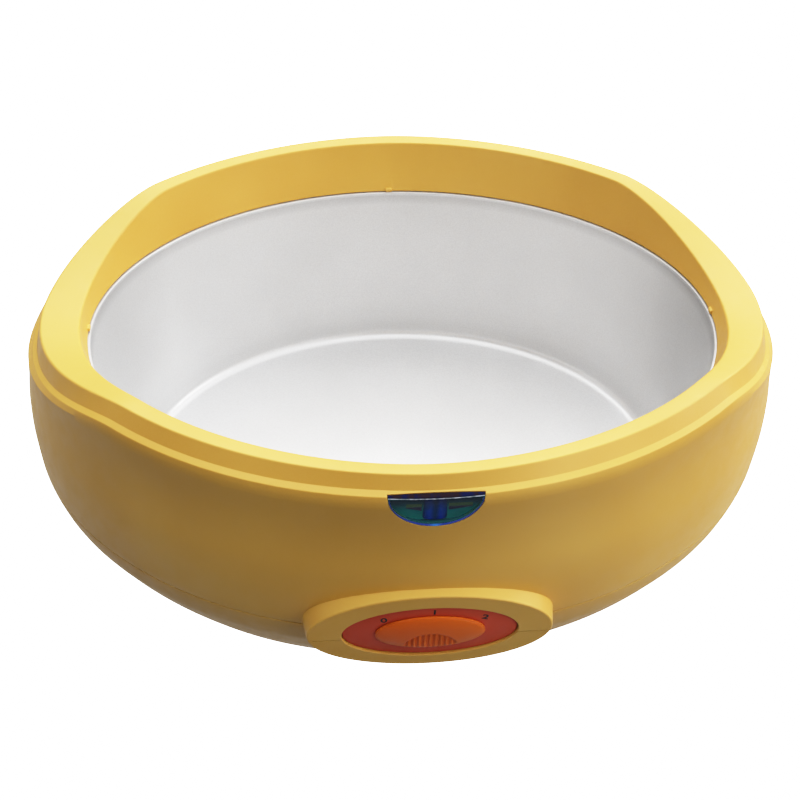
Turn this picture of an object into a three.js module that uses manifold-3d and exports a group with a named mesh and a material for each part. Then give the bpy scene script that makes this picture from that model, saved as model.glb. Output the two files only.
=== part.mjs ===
// Oval wax warmer pot: two-part moulded housing, aluminium tub, slide control on an oval front panel.
// Millimetres, +Z up, front (control side) towards -Y, origin on the table under the middle of the base.
// Offsets are measured outwards from the tub opening; heights named _REL are relative to the tub lip.
import * as THREE from 'three';
import { mergeVertices } from 'three/addons/utils/BufferGeometryUtils.js';
import Module from 'manifold-3d';

const wasm = await Module();
wasm.setup();

// ---- driving dimensions ----
const SEG = 60;                 // segments round the oval
const GAP = 0.3;                // clearance left between touching pieces
const LIP_Z = 116;              // tub's top edge above the table
const WALL = 2.6;               // housing wall

// tub
const TUB_A = 150;              // opening, half length
const TUB_B = 116.3;            // opening, half width
const TUB_N = 1.97;             // oval exponent
const TUB_DEPTH = 89.7;         // lip to floor
const TUB_BEAD = 1.1;           // how far the rolled lip stands back from the wall
const TUB_TAPER = 15.6;         // how much narrower the floor is, each side
const TUB_FILLET = 13;          // floor corner radius
const TUB_T = 1.5;              // sheet
const LIP_UNDER = LIP_Z - 1.9;  // level the tub clips are set from
const FLOOR_UNDER = LIP_Z - TUB_DEPTH - TUB_T;

// housing
const BODY_N = 1.88;            // oval exponent
const BODY_N_LOW = 0.01;        // added to the exponent down the wall
const BODY_TRIM = -4.5;         // added to the half width of a pure offset of the tub
const BODY_OFFSET = 26.6;       // wall offset at the shoulder
const BODY_PROFILE = [          // height relative to the lip, bulge added to the shoulder offset
  [24, -0.4], [18, 0], [5, 0.2], [-10, 1.7], [-25, 4.0], [-40, 5.0], [-54, 4.85], [-68, 2.4],
  [-76, -1.2], [-85, -5.8], [-95, -11.9], [-105, -18.5], [-109, -21.7], [-111.2, -25.4],
  [-112, -29.4]];
const BASE_REL = -112;          // underside
const PART_REL = -55.7;         // parting plane
const PART_Z = LIP_Z + PART_REL;
const FRONT_FLAT = 3.4;         // how far the front face is flattened
const FRONT_WIDTH = 60;         // how wide the flattening spreads

// rim: each value changes by its dip towards the two ends of the oval
const DIP_END = 34.7;           // the dip starts this many degrees from the long axis
const DIP_POWER = 0.8;          // sharpness of the knee where it starts
const RIM_N = (TUB_N + BODY_N) / 2;
const RIM_IN = { offset: 6.3, offsetDip: -4.6, z: 26.5, dip: 16.5 };
const RIM_OUT = { offset: 17.8, offsetDip: 2.2, z: 27.2, dip: 16.7 };
const LEDGE_IN = { offset: 22.7, z: 21.8 };
const LEDGE_OUT = { offset: 24.7, z: 20.6 };
const LEDGE_DIP = 21.6;
const LEDGE_END = 0.7;          // the outer ledge draws in this much at the ends

// control panel; sizes are [half width, half height]
const PANEL_Z = LIP_Z - 53.3;   // middle of the panel
const PANEL_Y = -143.2;         // its face
const BOSS_Z = PANEL_Z + 0.5;   // middle of the boss round it
const BOSS_FRONT = [52, 22.9];
const BOSS_BACK = [54.6, 25.7];
const BOSS_EDGE = 0.9;          // edge bevel
const PLATE = [37, 15.5];
const PLATE_T = 1.5;
const PLATE_Y = PANEL_Y + 1;    // front of the recessed plate
const WINDOW = [33, 12];
const KNOB = [23.2, 10];
const TRAVEL = 8;               // knob travel each way
const STEM_HALF = 3;
const PIVOT = [0, -113];        // thermostat shaft
const LEVER_R = 15;             // shaft to lever pin
const PIN_R = 1.8;

// indicator lens; heights are above the lip
const LENS = { half: 18.8, top: 22.9, bottom: 5.3, frontY: -146, backY: -132.1 };
const LENS_STEP = { y: -133.5, z: 18.9 }; // the shell is kept behind and above this step

// placing
const FOOT_R = 9;
const FOOT_PLACES = [[-98, -66], [-98, 66], [98, -66], [98, 66]];
const CLIP_ANGLES = [62, 118, 242, 298];
const CLIP_OFFSET = 13.2;
const SCREW_ANGLES = [38, 142, 218, 322];
const SCREW_OFFSET = 1.5;
const INLET_Z = 40;
const INLET_Y = 143.3;          // outer face of the inlet pad

// ---- solids ----
const rad = degrees => degrees * Math.PI / 180;
const clamp = THREE.MathUtils.clamp;
const span = (half, middle = 0) => [middle - half, middle + half];
const grow = (size, by) => size.map(value => value + by);
const join = (...parts) => parts.reduce((sum, part) => sum.add(part));
const cut = (body, ...tools) => tools.reduce((rest, tool) => rest.subtract(tool), body);

// weld a geometry, drop collapsed triangles and face it outwards
function solid(geometry) {
  for (const key of Object.keys(geometry.attributes)) {
    if (key !== 'position') geometry.deleteAttribute(key);
  }
  const welded = mergeVertices(geometry, 1e-4);
  const { position } = welded.attributes;
  const index = welded.index.array;
  const corners = [];
  const points = [0, 1, 2].map(() => new THREE.Vector3());
  let volume = 0;
  for (let i = 0; i < index.length; i += 3) {
    const triangle = Array.from(index.slice(i, i + 3));
    if (new Set(triangle).size < 3) continue;
    corners.push(...triangle);
    points.forEach((point, k) => point.fromBufferAttribute(position, triangle[k]));
    volume += points[0].dot(points[1].cross(points[2]));
  }
  if (volume < 0) {
    for (let i = 0; i < corners.length; i += 3) {
      [corners[i + 1], corners[i + 2]] = [corners[i + 2], corners[i + 1]];
    }
  }
  return new wasm.Manifold(new wasm.Mesh({
    numProp: 3,
    vertProperties: new Float32Array(position.array),
    triVerts: new Uint32Array(corners),
  }));
}

function surface(body) {
  const mesh = body.getMesh();
  const geometry = new THREE.BufferGeometry();
  const positions = new Float32Array(mesh.vertProperties);
  geometry.setAttribute('position', new THREE.BufferAttribute(positions, 3));
  geometry.setIndex(new THREE.BufferAttribute(new Uint32Array(mesh.triVerts), 1));
  return geometry;
}

function box([x0, x1], [y0, y1], [z0, z1]) {
  const geometry = new THREE.BoxGeometry(x1 - x0, y1 - y0, z1 - z0);
  geometry.translate((x0 + x1) / 2, (y0 + y1) / 2, (z0 + z1) / 2);
  return solid(geometry);
}

// box moved by shift along its own axes, turned about Z, then put in place
function bar(size, shift, angle, place) {
  const geometry = new THREE.BoxGeometry(...size);
  geometry.translate(...shift);
  geometry.rotateZ(angle);
  geometry.translate(...place);
  return solid(geometry);
}

function cylZ(radius, z0, z1, [x, y], sides) {
  const geometry = new THREE.CylinderGeometry(radius, radius, z1 - z0, sides);
  geometry.rotateX(Math.PI / 2);
  geometry.translate(x, y, (z0 + z1) / 2);
  return solid(geometry);
}

// cylinder along X, centred on x = 0
function cylX(radius, half, y, z) {
  const geometry = new THREE.CylinderGeometry(radius, radius, 2 * half, 14);
  geometry.rotateZ(Math.PI / 2);
  geometry.translate(0, y, z);
  return solid(geometry);
}

// elliptical plug along Y; its half sizes may change from y0 to y1
function plugY(size, y0, y1, z, endSize = size, sides = 56) {
  const geometry = new THREE.CylinderGeometry(1, 1, 1, sides);
  const { position } = geometry.attributes;
  for (let i = 0; i < position.count; i++) {
    const along = position.getY(i) + 0.5;
    const [halfX, halfZ] = size.map((half, k) => half + (endSize[k] - half) * along);
    position.setXYZ(i, position.getX(i) * halfX, y0 + (y1 - y0) * along,
      z + position.getZ(i) * halfZ);
  }
  return solid(geometry);
}

function outline(points) {
  const shape = new THREE.Shape(points.map(point => new THREE.Vector2(...point)));
  shape.closePath();
  return shape;
}

// outline of [x, height] points extruded along Y
function extrudeY(points, y0, y1, z) {
  const options = { depth: y1 - y0, bevelEnabled: false };
  const geometry = new THREE.ExtrudeGeometry(outline(points), options);
  geometry.rotateX(Math.PI / 2);
  geometry.translate(0, y1, z);
  return solid(geometry);
}

// rounded rectangle along Y
function padY([halfX, halfZ], radius, y0, y1, z) {
  const points = [];
  [[1, 1], [-1, 1], [-1, -1], [1, -1]].forEach(([sideX, sideZ], quarter) => {
    for (let k = 0; k <= 4; k++) {
      const angle = rad(90 * quarter + 22.5 * k);
      points.push([sideX * (halfX - radius) + radius * Math.cos(angle),
        sideZ * (halfZ - radius) + radius * Math.sin(angle)]);
    }
  });
  return extrudeY(points, y0, y1, z);
}

// [radius, z] profile revolved about a vertical axis
function turned(profile, [x, y], sides) {
  const points = profile.map(point => new THREE.Vector2(...point));
  const geometry = new THREE.LatheGeometry(points, sides);
  geometry.rotateX(Math.PI / 2);
  geometry.translate(x, y, 0);
  return solid(geometry);
}

// round bar along a curve
function tubeAlong(curve, radius, steps, sides) {
  const points = Array.from({ length: sides }, (_, i) => {
    const angle = 2 * Math.PI * i / sides;
    return [radius * Math.cos(angle), radius * Math.sin(angle)];
  });
  const options = { steps, extrudePath: curve, bevelEnabled: false };
  return solid(new THREE.ExtrudeGeometry(outline(points), options));
}

// ---- oval rows: functions from the angle phi to a point [x, y, z] ----

// skin through the rows; a ring also joins its last row to its first
function oval(rows, isRing = false) {
  const loop = isRing ? [...rows, rows[0]] : rows;
  const geometry = new THREE.LatheGeometry(loop.map((_, j) => new THREE.Vector2(1, j)), SEG);
  const { position } = geometry.attributes;
  for (let i = 0; i <= SEG; i++) {
    const phi = 2 * Math.PI * (i % SEG) / SEG;
    loop.forEach((row, j) => position.setXYZ(i * loop.length + j, ...row(phi)));
  }
  return solid(geometry);
}

// superellipse point; flat pushes the front (-Y) side inwards
function ovalXY(halfX, halfY, power, phi, flat = 0) {
  const cos = Math.cos(phi);
  const sin = Math.sin(phi);
  const sum = Math.pow(Math.abs(cos / halfX), power) + Math.pow(Math.abs(sin / halfY), power);
  const radius = Math.pow(sum, -1 / power);
  const x = radius * cos;
  let y = radius * sin;
  if (y < 0) y += flat * Math.exp(-(x / FRONT_WIDTH) * (x / FRONT_WIDTH));
  return [x, y];
}
const ellipseXY = (halfX, halfY, degrees) => ovalXY(halfX, halfY, 2, rad(degrees));
const tubXY = (offset, degrees) => ovalXY(TUB_A + offset, TUB_B + offset, TUB_N, rad(degrees));

const pole = z => () => [0, 0, z + LIP_Z];    // closes an oval on its axis
const tubRow = (offset, z, power = TUB_N) => phi =>
  [...ovalXY(TUB_A + offset, TUB_B + offset, power, phi), z + LIP_Z];
const bodyRow = (offset, z, flat, power = BODY_N) => phi =>
  [...ovalXY(TUB_A + offset, TUB_B + offset + BODY_TRIM, power, phi, flat), z + LIP_Z];

// 0 along the sides, rising to 1 at the two ends of the oval
function dip(phi) {
  const fromAxis = Math.atan2(Math.abs(Math.sin(phi)), Math.abs(Math.cos(phi))) * 180 / Math.PI;
  const ramp = Math.pow(clamp((DIP_END - fromAxis) / DIP_END, 0, 1), DIP_POWER);
  return ramp * ramp * (3 - 2 * ramp);
}

function bulge(z) {
  const below = Math.max(1, BODY_PROFILE.findIndex(([height]) => z >= height));
  const [[topZ, topBulge], [lowZ, lowBulge]] = BODY_PROFILE.slice(below - 1, below + 1);
  return topBulge + (topZ - z) / (topZ - lowZ) * (lowBulge - topBulge);
}

// row of the housing wall at height z, moved inwards by inset
function wallRow(z, inset = 0) {
  const flat = FRONT_FLAT * clamp(1 - (z + 10) / 62, 0.55, 1);
  const power = BODY_N + BODY_N_LOW * clamp((-z - 5) / 40, 0, 1);
  return bodyRow(BODY_OFFSET + bulge(z) - inset, z, flat, power);
}

// wall row of the upper half: share 0 just under the dipping ledge, 1 at the parting plane
const upperWallRow = (share, inset = 0) => phi => {
  const top = LEDGE_OUT.z - 2.5 - LEDGE_DIP * dip(phi);
  return wallRow(top + (PART_REL + GAP / 2 - top) * share, inset)(phi);
};

const rimIn = (out, up) => phi => {
  const end = dip(phi);
  const offset = RIM_IN.offset + RIM_IN.offsetDip * end + out;
  return tubRow(offset, RIM_IN.z - RIM_IN.dip * end + up, RIM_N)(phi);
};
const rimOut = (out, up) => phi => {
  const end = dip(phi);
  const offset = RIM_OUT.offset + RIM_OUT.offsetDip * end + out;
  return bodyRow(offset, RIM_OUT.z - RIM_OUT.dip * end + up, 0.5)(phi);
};
const ledgeRow = (offset, z, drawIn = 0) => phi => {
  const end = dip(phi);
  return bodyRow(offset - drawIn * end, z - LEDGE_DIP * end, 1.9)(phi);
};
const ledgeIn = (out, up) => ledgeRow(LEDGE_IN.offset + out, LEDGE_IN.z + up);
// the draw-in only applies further out than 1 mm past the inner ledge
const ledgeOut = (out, up) => ledgeRow(LEDGE_OUT.offset + out, LEDGE_OUT.z + up, LEDGE_END);

// ---- shapes shared by the housing halves ----
const PLUG_HEIGHTS = [-98, -85, -76, -68, -54, -40, -25, -10];

// solid filling of the housing, reaching a little into the wall
const wallPlug = heights => oval([pole(heights[0]),
  ...heights.map(z => wallRow(z, WALL - 0.4)), pole(heights.at(-1))]);

function panelBoss() {
  const edgeY = PANEL_Y + BOSS_EDGE;
  const body = plugY(BOSS_FRONT, edgeY, -128, BOSS_Z, BOSS_BACK);
  const bevel = plugY(grow(BOSS_FRONT, -BOSS_EDGE), PANEL_Y, PANEL_Y + 1, BOSS_Z, BOSS_FRONT);
  return cut(join(body, bevel), wallPlug(PLUG_HEIGHTS));
}
const boss = panelBoss();
const bossBetween = (z0, z1) => boss.intersect(box(span(80), [-160, -100], [z0, z1]));

// plate seat, window through the boss, and room for the slider guide
const panelOpenings = [
  plugY(grow(PLATE, GAP), PANEL_Y - 2, PLATE_Y + PLATE_T + GAP, PANEL_Z),
  plugY(WINDOW, PANEL_Y - 2, -124, PANEL_Z, WINDOW, 40),
  box(span(31.5), [-135.2, -122], span(13.5, PANEL_Z)),
];
const clipPlaces = CLIP_ANGLES.map(angle => tubXY(CLIP_OFFSET, angle));
const screwPlaces = SCREW_ANGLES.map(angle => tubXY(SCREW_OFFSET, angle));

// ---- housing: upper half ----
function upperSkin() {
  const shell = oval([
    // top face, from the tub outwards
    tubRow(-0.5, GAP), rimIn(-0.2, -1.4), rimIn(0.9, -0.1), rimOut(-1.7, 0), rimOut(0.1, -1.3),
    ledgeIn(0, 0), ledgeOut(-0.5, 0.1), ledgeOut(0.6, -0.9),
    // down the outside
    ...[0, 0.25, 0.5, 0.75, 1].map(share => upperWallRow(share)),
    // up the inside and back to the tub
    upperWallRow(1, WALL), upperWallRow(0.96, WALL - 0.05),
    ...[0.75, 0.4, 0.01].map(share => upperWallRow(share, WALL)),
    ledgeIn(-1.7, -WALL - 0.7), rimOut(-2.6, -2.7), rimIn(2.5, -2.7), tubRow(3.0, GAP),
  ], true);
  // small catches on the skirt that hold the tub lip down
  const catches = [0, 90, 180, 270].map(angle =>
    bar([2.4, 3.8, 2], [-0.05, 0, 0], rad(angle), [...tubXY(0, angle), LIP_Z + GAP + 1.1]));
  return join(shell, ...catches, bossBetween(PART_Z + GAP / 2, PART_Z + 60));
}

// everything inside the skin of the upper half, trims the inner bosses and ribs
const upperInside = oval([pole(-58), wallRow(-58, 1.2),
  ...[1, 0.75, 0.4, 0.01].map(share => upperWallRow(share, 1.2)),
  ledgeOut(-1.2, -1.6), ledgeIn(-1.2, -1.4), rimOut(-1.5, -1.5), rimIn(1.5, -1.5),
  tubRow(1.6, GAP), pole(GAP)]);

// plug with a straight top and a curved underside, grown at the sides, top, bottom and back
function lensPlug(side = 0, top = 0, bottom = 0, back = 0) {
  const topZ = LENS.top + top;
  const height = topZ - (LENS.bottom - bottom);
  const points = Array.from({ length: 19 }, (_, i) => {
    const angle = Math.PI * i / 18;
    const drop = i === 18 ? 0 : Math.pow(Math.sin(angle), 0.86);
    return [(LENS.half + side) * Math.cos(angle), topZ - height * drop];
  });
  return extrudeY(points, LENS.frontY, LENS.backY + back, LIP_Z);
}
const lensStep = gap =>
  box(span(40), [LENS_STEP.y + gap, -120], [LIP_Z + LENS_STEP.z + gap, LIP_Z + 40]);

// the lens is the piece of wall that its opening takes away
const indicatorLens = skin => cut(skin.intersect(lensPlug()), lensStep(0));

function upperShell(skin) {
  let shell = cut(skin, cut(lensPlug(GAP, 0.6, GAP, GAP), lensStep(GAP)));
  // bosses for the tub clips, under the rim
  for (const place of clipPlaces) {
    const post = cylZ(3.6, LIP_Z - 1.5, LIP_Z + RIM_OUT.z, place, 12).intersect(upperInside);
    shell = join(shell, cut(post, cylZ(1.9, LIP_Z - 3, LIP_Z + 14, place, 10)));
  }
  // screw bosses, each with a rib out to the wall
  const belowRibs = box(span(400), span(400), [0, PART_Z + 3]);
  for (const [x, y] of screwPlaces) {
    const post = cylZ(4.3, PART_Z + GAP / 2, PART_Z + 24.5, [x, y], 14);
    const rib = bar([29, 2.2, 22], [14.2, 0, 0], Math.atan2(y, x), [x, y, PART_Z + 13.5]);
    shell = join(shell, post, cut(rib.intersect(upperInside), belowRibs));
    shell = cut(shell, cylZ(2, PART_Z - 2, PART_Z + 17, [x, y], 12));
  }
  return cut(shell, ...panelOpenings);
}

// ---- housing: lower half ----
function lowerShell() {
  const topRel = PART_REL - GAP / 2;
  const innerBase = BASE_REL + WALL;
  const heights = BODY_PROFILE.map(([z]) => z).filter(z => z < PART_REL).reverse();
  const outerRows = [pole(BASE_REL), ...[...heights, topRel].map(z => wallRow(z))];
  const filled = oval([...outerRows, pole(topRel)]);
  const floorRow = (bulgeZ, inset, z) =>
    bodyRow(BODY_OFFSET + bulge(bulgeZ) - inset, z, 2.4);
  let shell = oval([...outerRows,
    // tongue that stands up inside the upper half
    wallRow(topRel, WALL + GAP), wallRow(PART_REL + 2.2, WALL + GAP),
    wallRow(PART_REL + 2.2, WALL + 1.5), wallRow(topRel - 5.5, WALL + 1.5),
    // down the inside to the floor
    ...[topRel - 8, -76, -85, -95, -104].map(z => wallRow(z, WALL)),
    floorRow(-108, WALL + 0.6, innerBase + 1.4), floorRow(-111.2, WALL, innerBase),
    pole(innerBase)]);
  shell = join(shell, bossBetween(PART_Z - 60, PART_Z - GAP / 2));
  // screw wells
  for (const place of screwPlaces) {
    shell = join(shell, cylZ(5.2, 5, PART_Z - GAP / 2, place, 18).intersect(filled));
    shell = cut(shell, cylZ(3.8, -2, 48, place, 16), cylZ(2, 40, PART_Z + 2, place, 12));
  }
  shell = cut(shell, ...panelOpenings);
  // appliance inlet pad at the back
  const pad = padY([26, 16.5], 8, 112, INLET_Y, INLET_Z);
  shell = join(shell, cut(pad, wallPlug(PLUG_HEIGHTS.slice(0, 5))));
  shell = cut(shell, box(span(14.3), [110, 160], span(10.3, INLET_Z)));
  // foot holes, and slots through the base near the back and the front
  shell = cut(shell, ...FOOT_PLACES.map(place => cylZ(3.4, 0, 10, place, 14)));
  for (let i = 0; i < 4; i++) {
    for (const side of [-1, 1]) {
      const width = span(1.6, side * (22 + i * 11));
      shell = cut(shell, box(width, [84, 100], [0, 10]), box(width, [-100, -88], [0, 10]));
    }
  }
  return shell;
}

// ---- tub ----
const RING = [96, 62];          // half sizes of the heater ring's centre line
const RING_R = 3.2;
const STRAP_ANGLES = [20, 160, 270];
const ringXY = (out, angle) => ellipseXY(...grow(RING, out), angle);
const studs = STRAP_ANGLES.map(angle => ringXY(-10, angle));

const tubWall = z => -TUB_BEAD + (TUB_TAPER - TUB_BEAD) * z / TUB_DEPTH;

// row of the floor corner: share 0 at the floor, 1 at the wall; out goes through the sheet
function cornerRow(share, out = 0) {
  const angle = Math.PI / 2 * share;
  const radius = TUB_FILLET + out;
  const centreZ = TUB_FILLET - TUB_DEPTH;
  const centreOffset = tubWall(centreZ) - TUB_FILLET;
  return tubRow(centreOffset + radius * Math.sin(angle), centreZ - radius * Math.cos(angle));
}

function waxTub() {
  const cup = oval([
    // inner face, from the floor up
    pole(-TUB_DEPTH), tubRow(-75, -TUB_DEPTH),
    ...[0, 0.33, 0.67, 1].map(share => cornerRow(share)), tubRow(tubWall(-40), -40),
    // lip
    tubRow(-1.4, -0.9), tubRow(-0.5, 0), tubRow(2.2, -0.25), tubRow(8, -0.35),
    tubRow(8, -1.85), tubRow(1.3, -1.95),
    // outer face, down to the underside
    tubRow(tubWall(-40) + TUB_T, -40), ...[1, 0.5, 0].map(share => cornerRow(share, TUB_T)),
    pole(-TUB_DEPTH - TUB_T)]);
  return join(cup,
    ...studs.map(place => cylZ(1.8, FLOOR_UNDER - 12.2, FLOOR_UNDER + 0.5, place, 12)));
}

const tubGasket = () =>
  oval([tubRow(3.7, 0), tubRow(3.7, 1.9), tubRow(7.2, 1.9), tubRow(7.2, 0)], true);

// ---- heater under the tub ----
const RING_Z = FLOOR_UNDER - GAP - RING_R;
const STRAP_T = 1.4;
const STRAP_WIDTH = 9;
const STRAP_TOP = RING_Z - RING_R - GAP;
const PAD_Z = [7, 9.6];
const SHIELD_Z = [PAD_Z[1] + GAP, PAD_Z[1] + GAP + 0.8];
const FUSE = { y: 8, z: FLOOR_UNDER - GAP - 2.2 };

class OvalArc extends THREE.Curve {
  constructor([halfX, halfY], start, end, z) {
    super();
    Object.assign(this, { halfX, halfY, start, end, z });
  }
  getPoint(share, target = new THREE.Vector3()) {
    const angle = this.start + (this.end - this.start) * share;
    return target.set(...ellipseXY(this.halfX, this.halfY, angle), this.z);
  }
}
// open at the back
const heatingElement = () => tubeAlong(new OvalArc(RING, 98, 442, RING_Z), RING_R, 36, 8);

// strap from a stud out under the ring, with a lug turned up at its outer end
function heaterStrap(angle, i) {
  const [x, y] = studs[i];
  const [outerX, outerY] = ringXY(7.5, angle);
  const length = Math.hypot(outerX - x, outerY - y) + 8;
  const heading = Math.atan2(outerY - y, outerX - x);
  const place = [x, y, STRAP_TOP - STRAP_T / 2];
  const strip = bar([length, STRAP_WIDTH, STRAP_T], [length / 2 - 6, 0, 0], heading, place);
  const lug = bar([STRAP_T, STRAP_WIDTH, 7.2], [length - 6.7, 0, 3.2], heading, place);
  return cut(join(strip, lug), cylZ(2.2, 5, 30, [x, y], 12));
}

function strapNut(place) {
  const top = STRAP_TOP - STRAP_T - GAP;
  return cut(cylZ(3.9, top - 2.6, top, place, 6), cylZ(2.1, 0, 30, place, 12));
}

// oval sheet with holes at the studs and feet
function ovalSheet(halfX, halfY, [z0, z1]) {
  const edge = z => phi => [...ovalXY(halfX, halfY, 2, phi), z];
  const hole = (radius, place) => cylZ(radius, z0 - 1, z1 + 1, place, 12);
  return cut(oval([pole(z0 - LIP_Z), edge(z0), edge(z1), pole(z1 - LIP_Z)]),
    ...studs.map(place => hole(5.5, place)), ...FOOT_PLACES.map(place => hole(6, place)));
}

function fuseClip() {
  const bottom = FLOOR_UNDER - 7.2;
  const [front, back] = span(7.5, FUSE.y);
  const side = [bottom, FLOOR_UNDER - GAP];
  return cut(join(
    box(span(3), [front, back], [bottom, bottom + 1]),
    box(span(3), [front, front + 1], side),
    box(span(3), [back - 1, back], side)), cylX(2.6, 9, FUSE.y, FUSE.z));
}

// ---- slide control ----
const KNOB_BACK = PLATE_Y - GAP;
const KNOB_PROFILE = [          // share of the half size, y from the knob's back
  [0, 0], [1, 0], [1, -0.9], [0.9, -1.5], [0.65, -2.3], [0.33, -2.75], [0, -2.9]];
const RIB_PITCH = 2.35;
const RIB_Z = PANEL_Z - 2.6;
const CARRIAGE_BACK = -131.8;
const PIN_PLACE = [0, PIVOT[1] - LEVER_R];
const LEVER_Z = PANEL_Z - 7.2;  // underside of the lever

function labelPlate() {
  const slot = box(span(STEM_HALF + TRAVEL + 0.6), [-150, -130], span(STEM_HALF + 0.5, PANEL_Z));
  return cut(plugY(PLATE, PLATE_Y, PLATE_Y + PLATE_T, PANEL_Z), slot);
}

function knobDome() {
  const points = KNOB_PROFILE.map(point => new THREE.Vector2(...point));
  const geometry = new THREE.LatheGeometry(points, 36);
  const { position } = geometry.attributes;
  for (let i = 0; i < position.count; i++) {
    position.setXYZ(i, position.getX(i) * KNOB[0], KNOB_BACK + position.getY(i),
      PANEL_Z + position.getZ(i) * KNOB[1]);
  }
  return solid(geometry);
}

// dome with a ribbed hollow in its face and a stem behind
function sliderKnob() {
  const scoop = new THREE.SphereGeometry(1, 18, 10);
  scoop.scale(12.6, 2.2, 7.8);
  scoop.translate(0, KNOB_BACK - 3.3, PANEL_Z - 2.2);
  let knob = cut(knobDome(), solid(scoop).intersect(plugY([12.4, 9.2], -160, -130, RIB_Z)));
  for (let i = -4; i <= 4; i++) {
    const half = 6.4 * Math.sqrt(1 - (i / 5.2) * (i / 5.2));
    knob = join(knob,
      box(span(0.4, i * RIB_PITCH), [KNOB_BACK - 2, KNOB_BACK - 0.4], span(half, RIB_Z)));
  }
  return join(knob, box(span(STEM_HALF), [KNOB_BACK - 0.5, -134.9], span(STEM_HALF, PANEL_Z)));
}

const sliderGuide = () => cut(box(span(30), [-134.8, -131.4], span(12, PANEL_Z)),
  box(span(25.5), [-140, -126], span(7.4, PANEL_Z)));

// slide behind the panel, with a fork reaching back round the lever pin
function sliderCarriage() {
  const prongHalf = 1.1;
  const prongX = PIN_R + 0.5 + prongHalf;
  const prongs = [-1, 1].map(side => box(span(prongHalf, side * prongX),
    [CARRIAGE_BACK - 0.5, -123.4], [PANEL_Z - 4, PANEL_Z + 3]));
  return join(box(span(16), [-134.6, CARRIAGE_BACK], span(7, PANEL_Z)), ...prongs);
}

function thermostatLever() {
  const top = LEVER_Z + 2;
  return cut(join(
    box(span(3.4), [PIN_PLACE[1], PIVOT[1]], [LEVER_Z, top]),
    cylZ(4.6, LEVER_Z, LEVER_Z + 3.4, PIVOT, 20),
    cylZ(3.4, LEVER_Z, top, PIN_PLACE, 16),
    cylZ(PIN_R, LEVER_Z + 1, PANEL_Z + 2.6, PIN_PLACE, 14)),
  cylZ(2.3, LEVER_Z - 3, LEVER_Z + 6, PIVOT, 14));
}

const thermostatBody = () => cut(
  join(box(span(13), [-121, -107.8], [34, 50]), cylZ(5, 49.5, 52.2, PIVOT, 18)),
  cylZ(2.3, 44, 56, PIVOT, 14));

const thermostatShaft = () => cylZ(2, 44.3, LEVER_Z + 3.9, PIVOT, 14);

// shelf under the body, upright behind it, and a foot on the base
const thermostatBracket = () => join(
  box(span(14), [-121, -105.4], [32.2, 33.7]),
  box(span(8), [-106.8, -105.4], [8.4, 33.7]),
  box(span(8), [-106.8, -96], [8.4, 9.8]));

// ---- indicator lamp ----
const LAMP = { y: -127.4, z: LIP_Z + 11.5 };

// two end blocks joined by a strip behind the lamp
function lampHolder() {
  const height = span(3.6, LAMP.z);
  const ends = [-8.5, 8.5].map(x => box(span(3.5, x), span(3.2, LAMP.y), height));
  const strip = box(span(12), [LAMP.y + 2.8, LAMP.y + 3.7], height);
  return cut(join(...ends, strip), cylX(2.5, 8.3, LAMP.y, LAMP.z));
}

// ---- inlet, terminals, leads ----
const PIN_POSITIONS = [[-7, INLET_Z - 2], [0, INLET_Z + 2.4], [7, INLET_Z - 2]];  // x, z

function powerInlet() {
  const face = INLET_Y + 2.1;
  return cut(join(
    box(span(14), [119, face], span(10, INLET_Z)),
    padY([20, 12.8], 4, INLET_Y + GAP, face, INLET_Z)),
  box(span(12), [124, 150], span(8, INLET_Z)),
  ...PIN_POSITIONS.map(([x, z]) => box(span(1.3, x), [110, 130], span(2.3, z))));
}
const inletPin = ([x, z]) => box(span(1, x), [112.5, 139], span(2, z));

function terminalBlock() {
  const holes = [0, 1, 2].map(i => cylZ(2.2, 11, 20, [31.5 + i * 9.5, 93.5], 12));
  return cut(box([26, 56], [88, 99], [7.2, 17]), ...holes);
}

function lead(points, steps) {
  const path = points.map(point => new THREE.Vector3(...point));
  return tubeAlong(new THREE.CatmullRomCurve3(path, false, 'centripetal'), 1.25, steps, 6);
}

const SIDE_RUN = [              // half length, half width, angle, z round the side of the base
  [134, 99, 66, 19], [136, 100, 45, 18], [138, 101, 20, 18], [138, 101, 0, 18],
  [138, 101, -20, 18], [137, 101, -45, 18], [135, 101, -62, 18.5]];
const SIDE_LEAD = [             // x, y, z from the inlet to the thermostat, on the +X side
  [9.4, 115.5, 38], [14, 110, 30], [26, 103.5, 21],
  ...SIDE_RUN.map(([halfX, halfY, angle, z]) => [...ellipseXY(halfX, halfY, angle), z]),
  [34, -103, 22], [22, -109, 33], [14.8, -112, 41]];
const EARTH_LEAD = [[0, 114, 37.5], [4, 108, 26], [10, 100, 17], [18, 92, 14.5], [24.5, 93.5, 14]];

// side is 1 for +X, -1 for -X
const sideLead = side => lead(SIDE_LEAD.map(([x, y, z]) => [side * x, y, z]), 34);

// ---- clips, screws, feet ----
const CLIP_T = 1.6;
const CLIP_TOP = LIP_UNDER - GAP;

function tubClip(place, i) {
  const [x, y] = place;
  const [innerX, innerY] = tubXY(0, CLIP_ANGLES[i]);
  const heading = Math.atan2(y - innerY, x - innerX);
  const strip = bar([12.6, 9, CLIP_T], [-3, 0, 0], heading, [x, y, CLIP_TOP - CLIP_T / 2]);
  return cut(strip, cylZ(2.1, LIP_Z - 8, LIP_Z + 4, place, 12));
}

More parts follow.
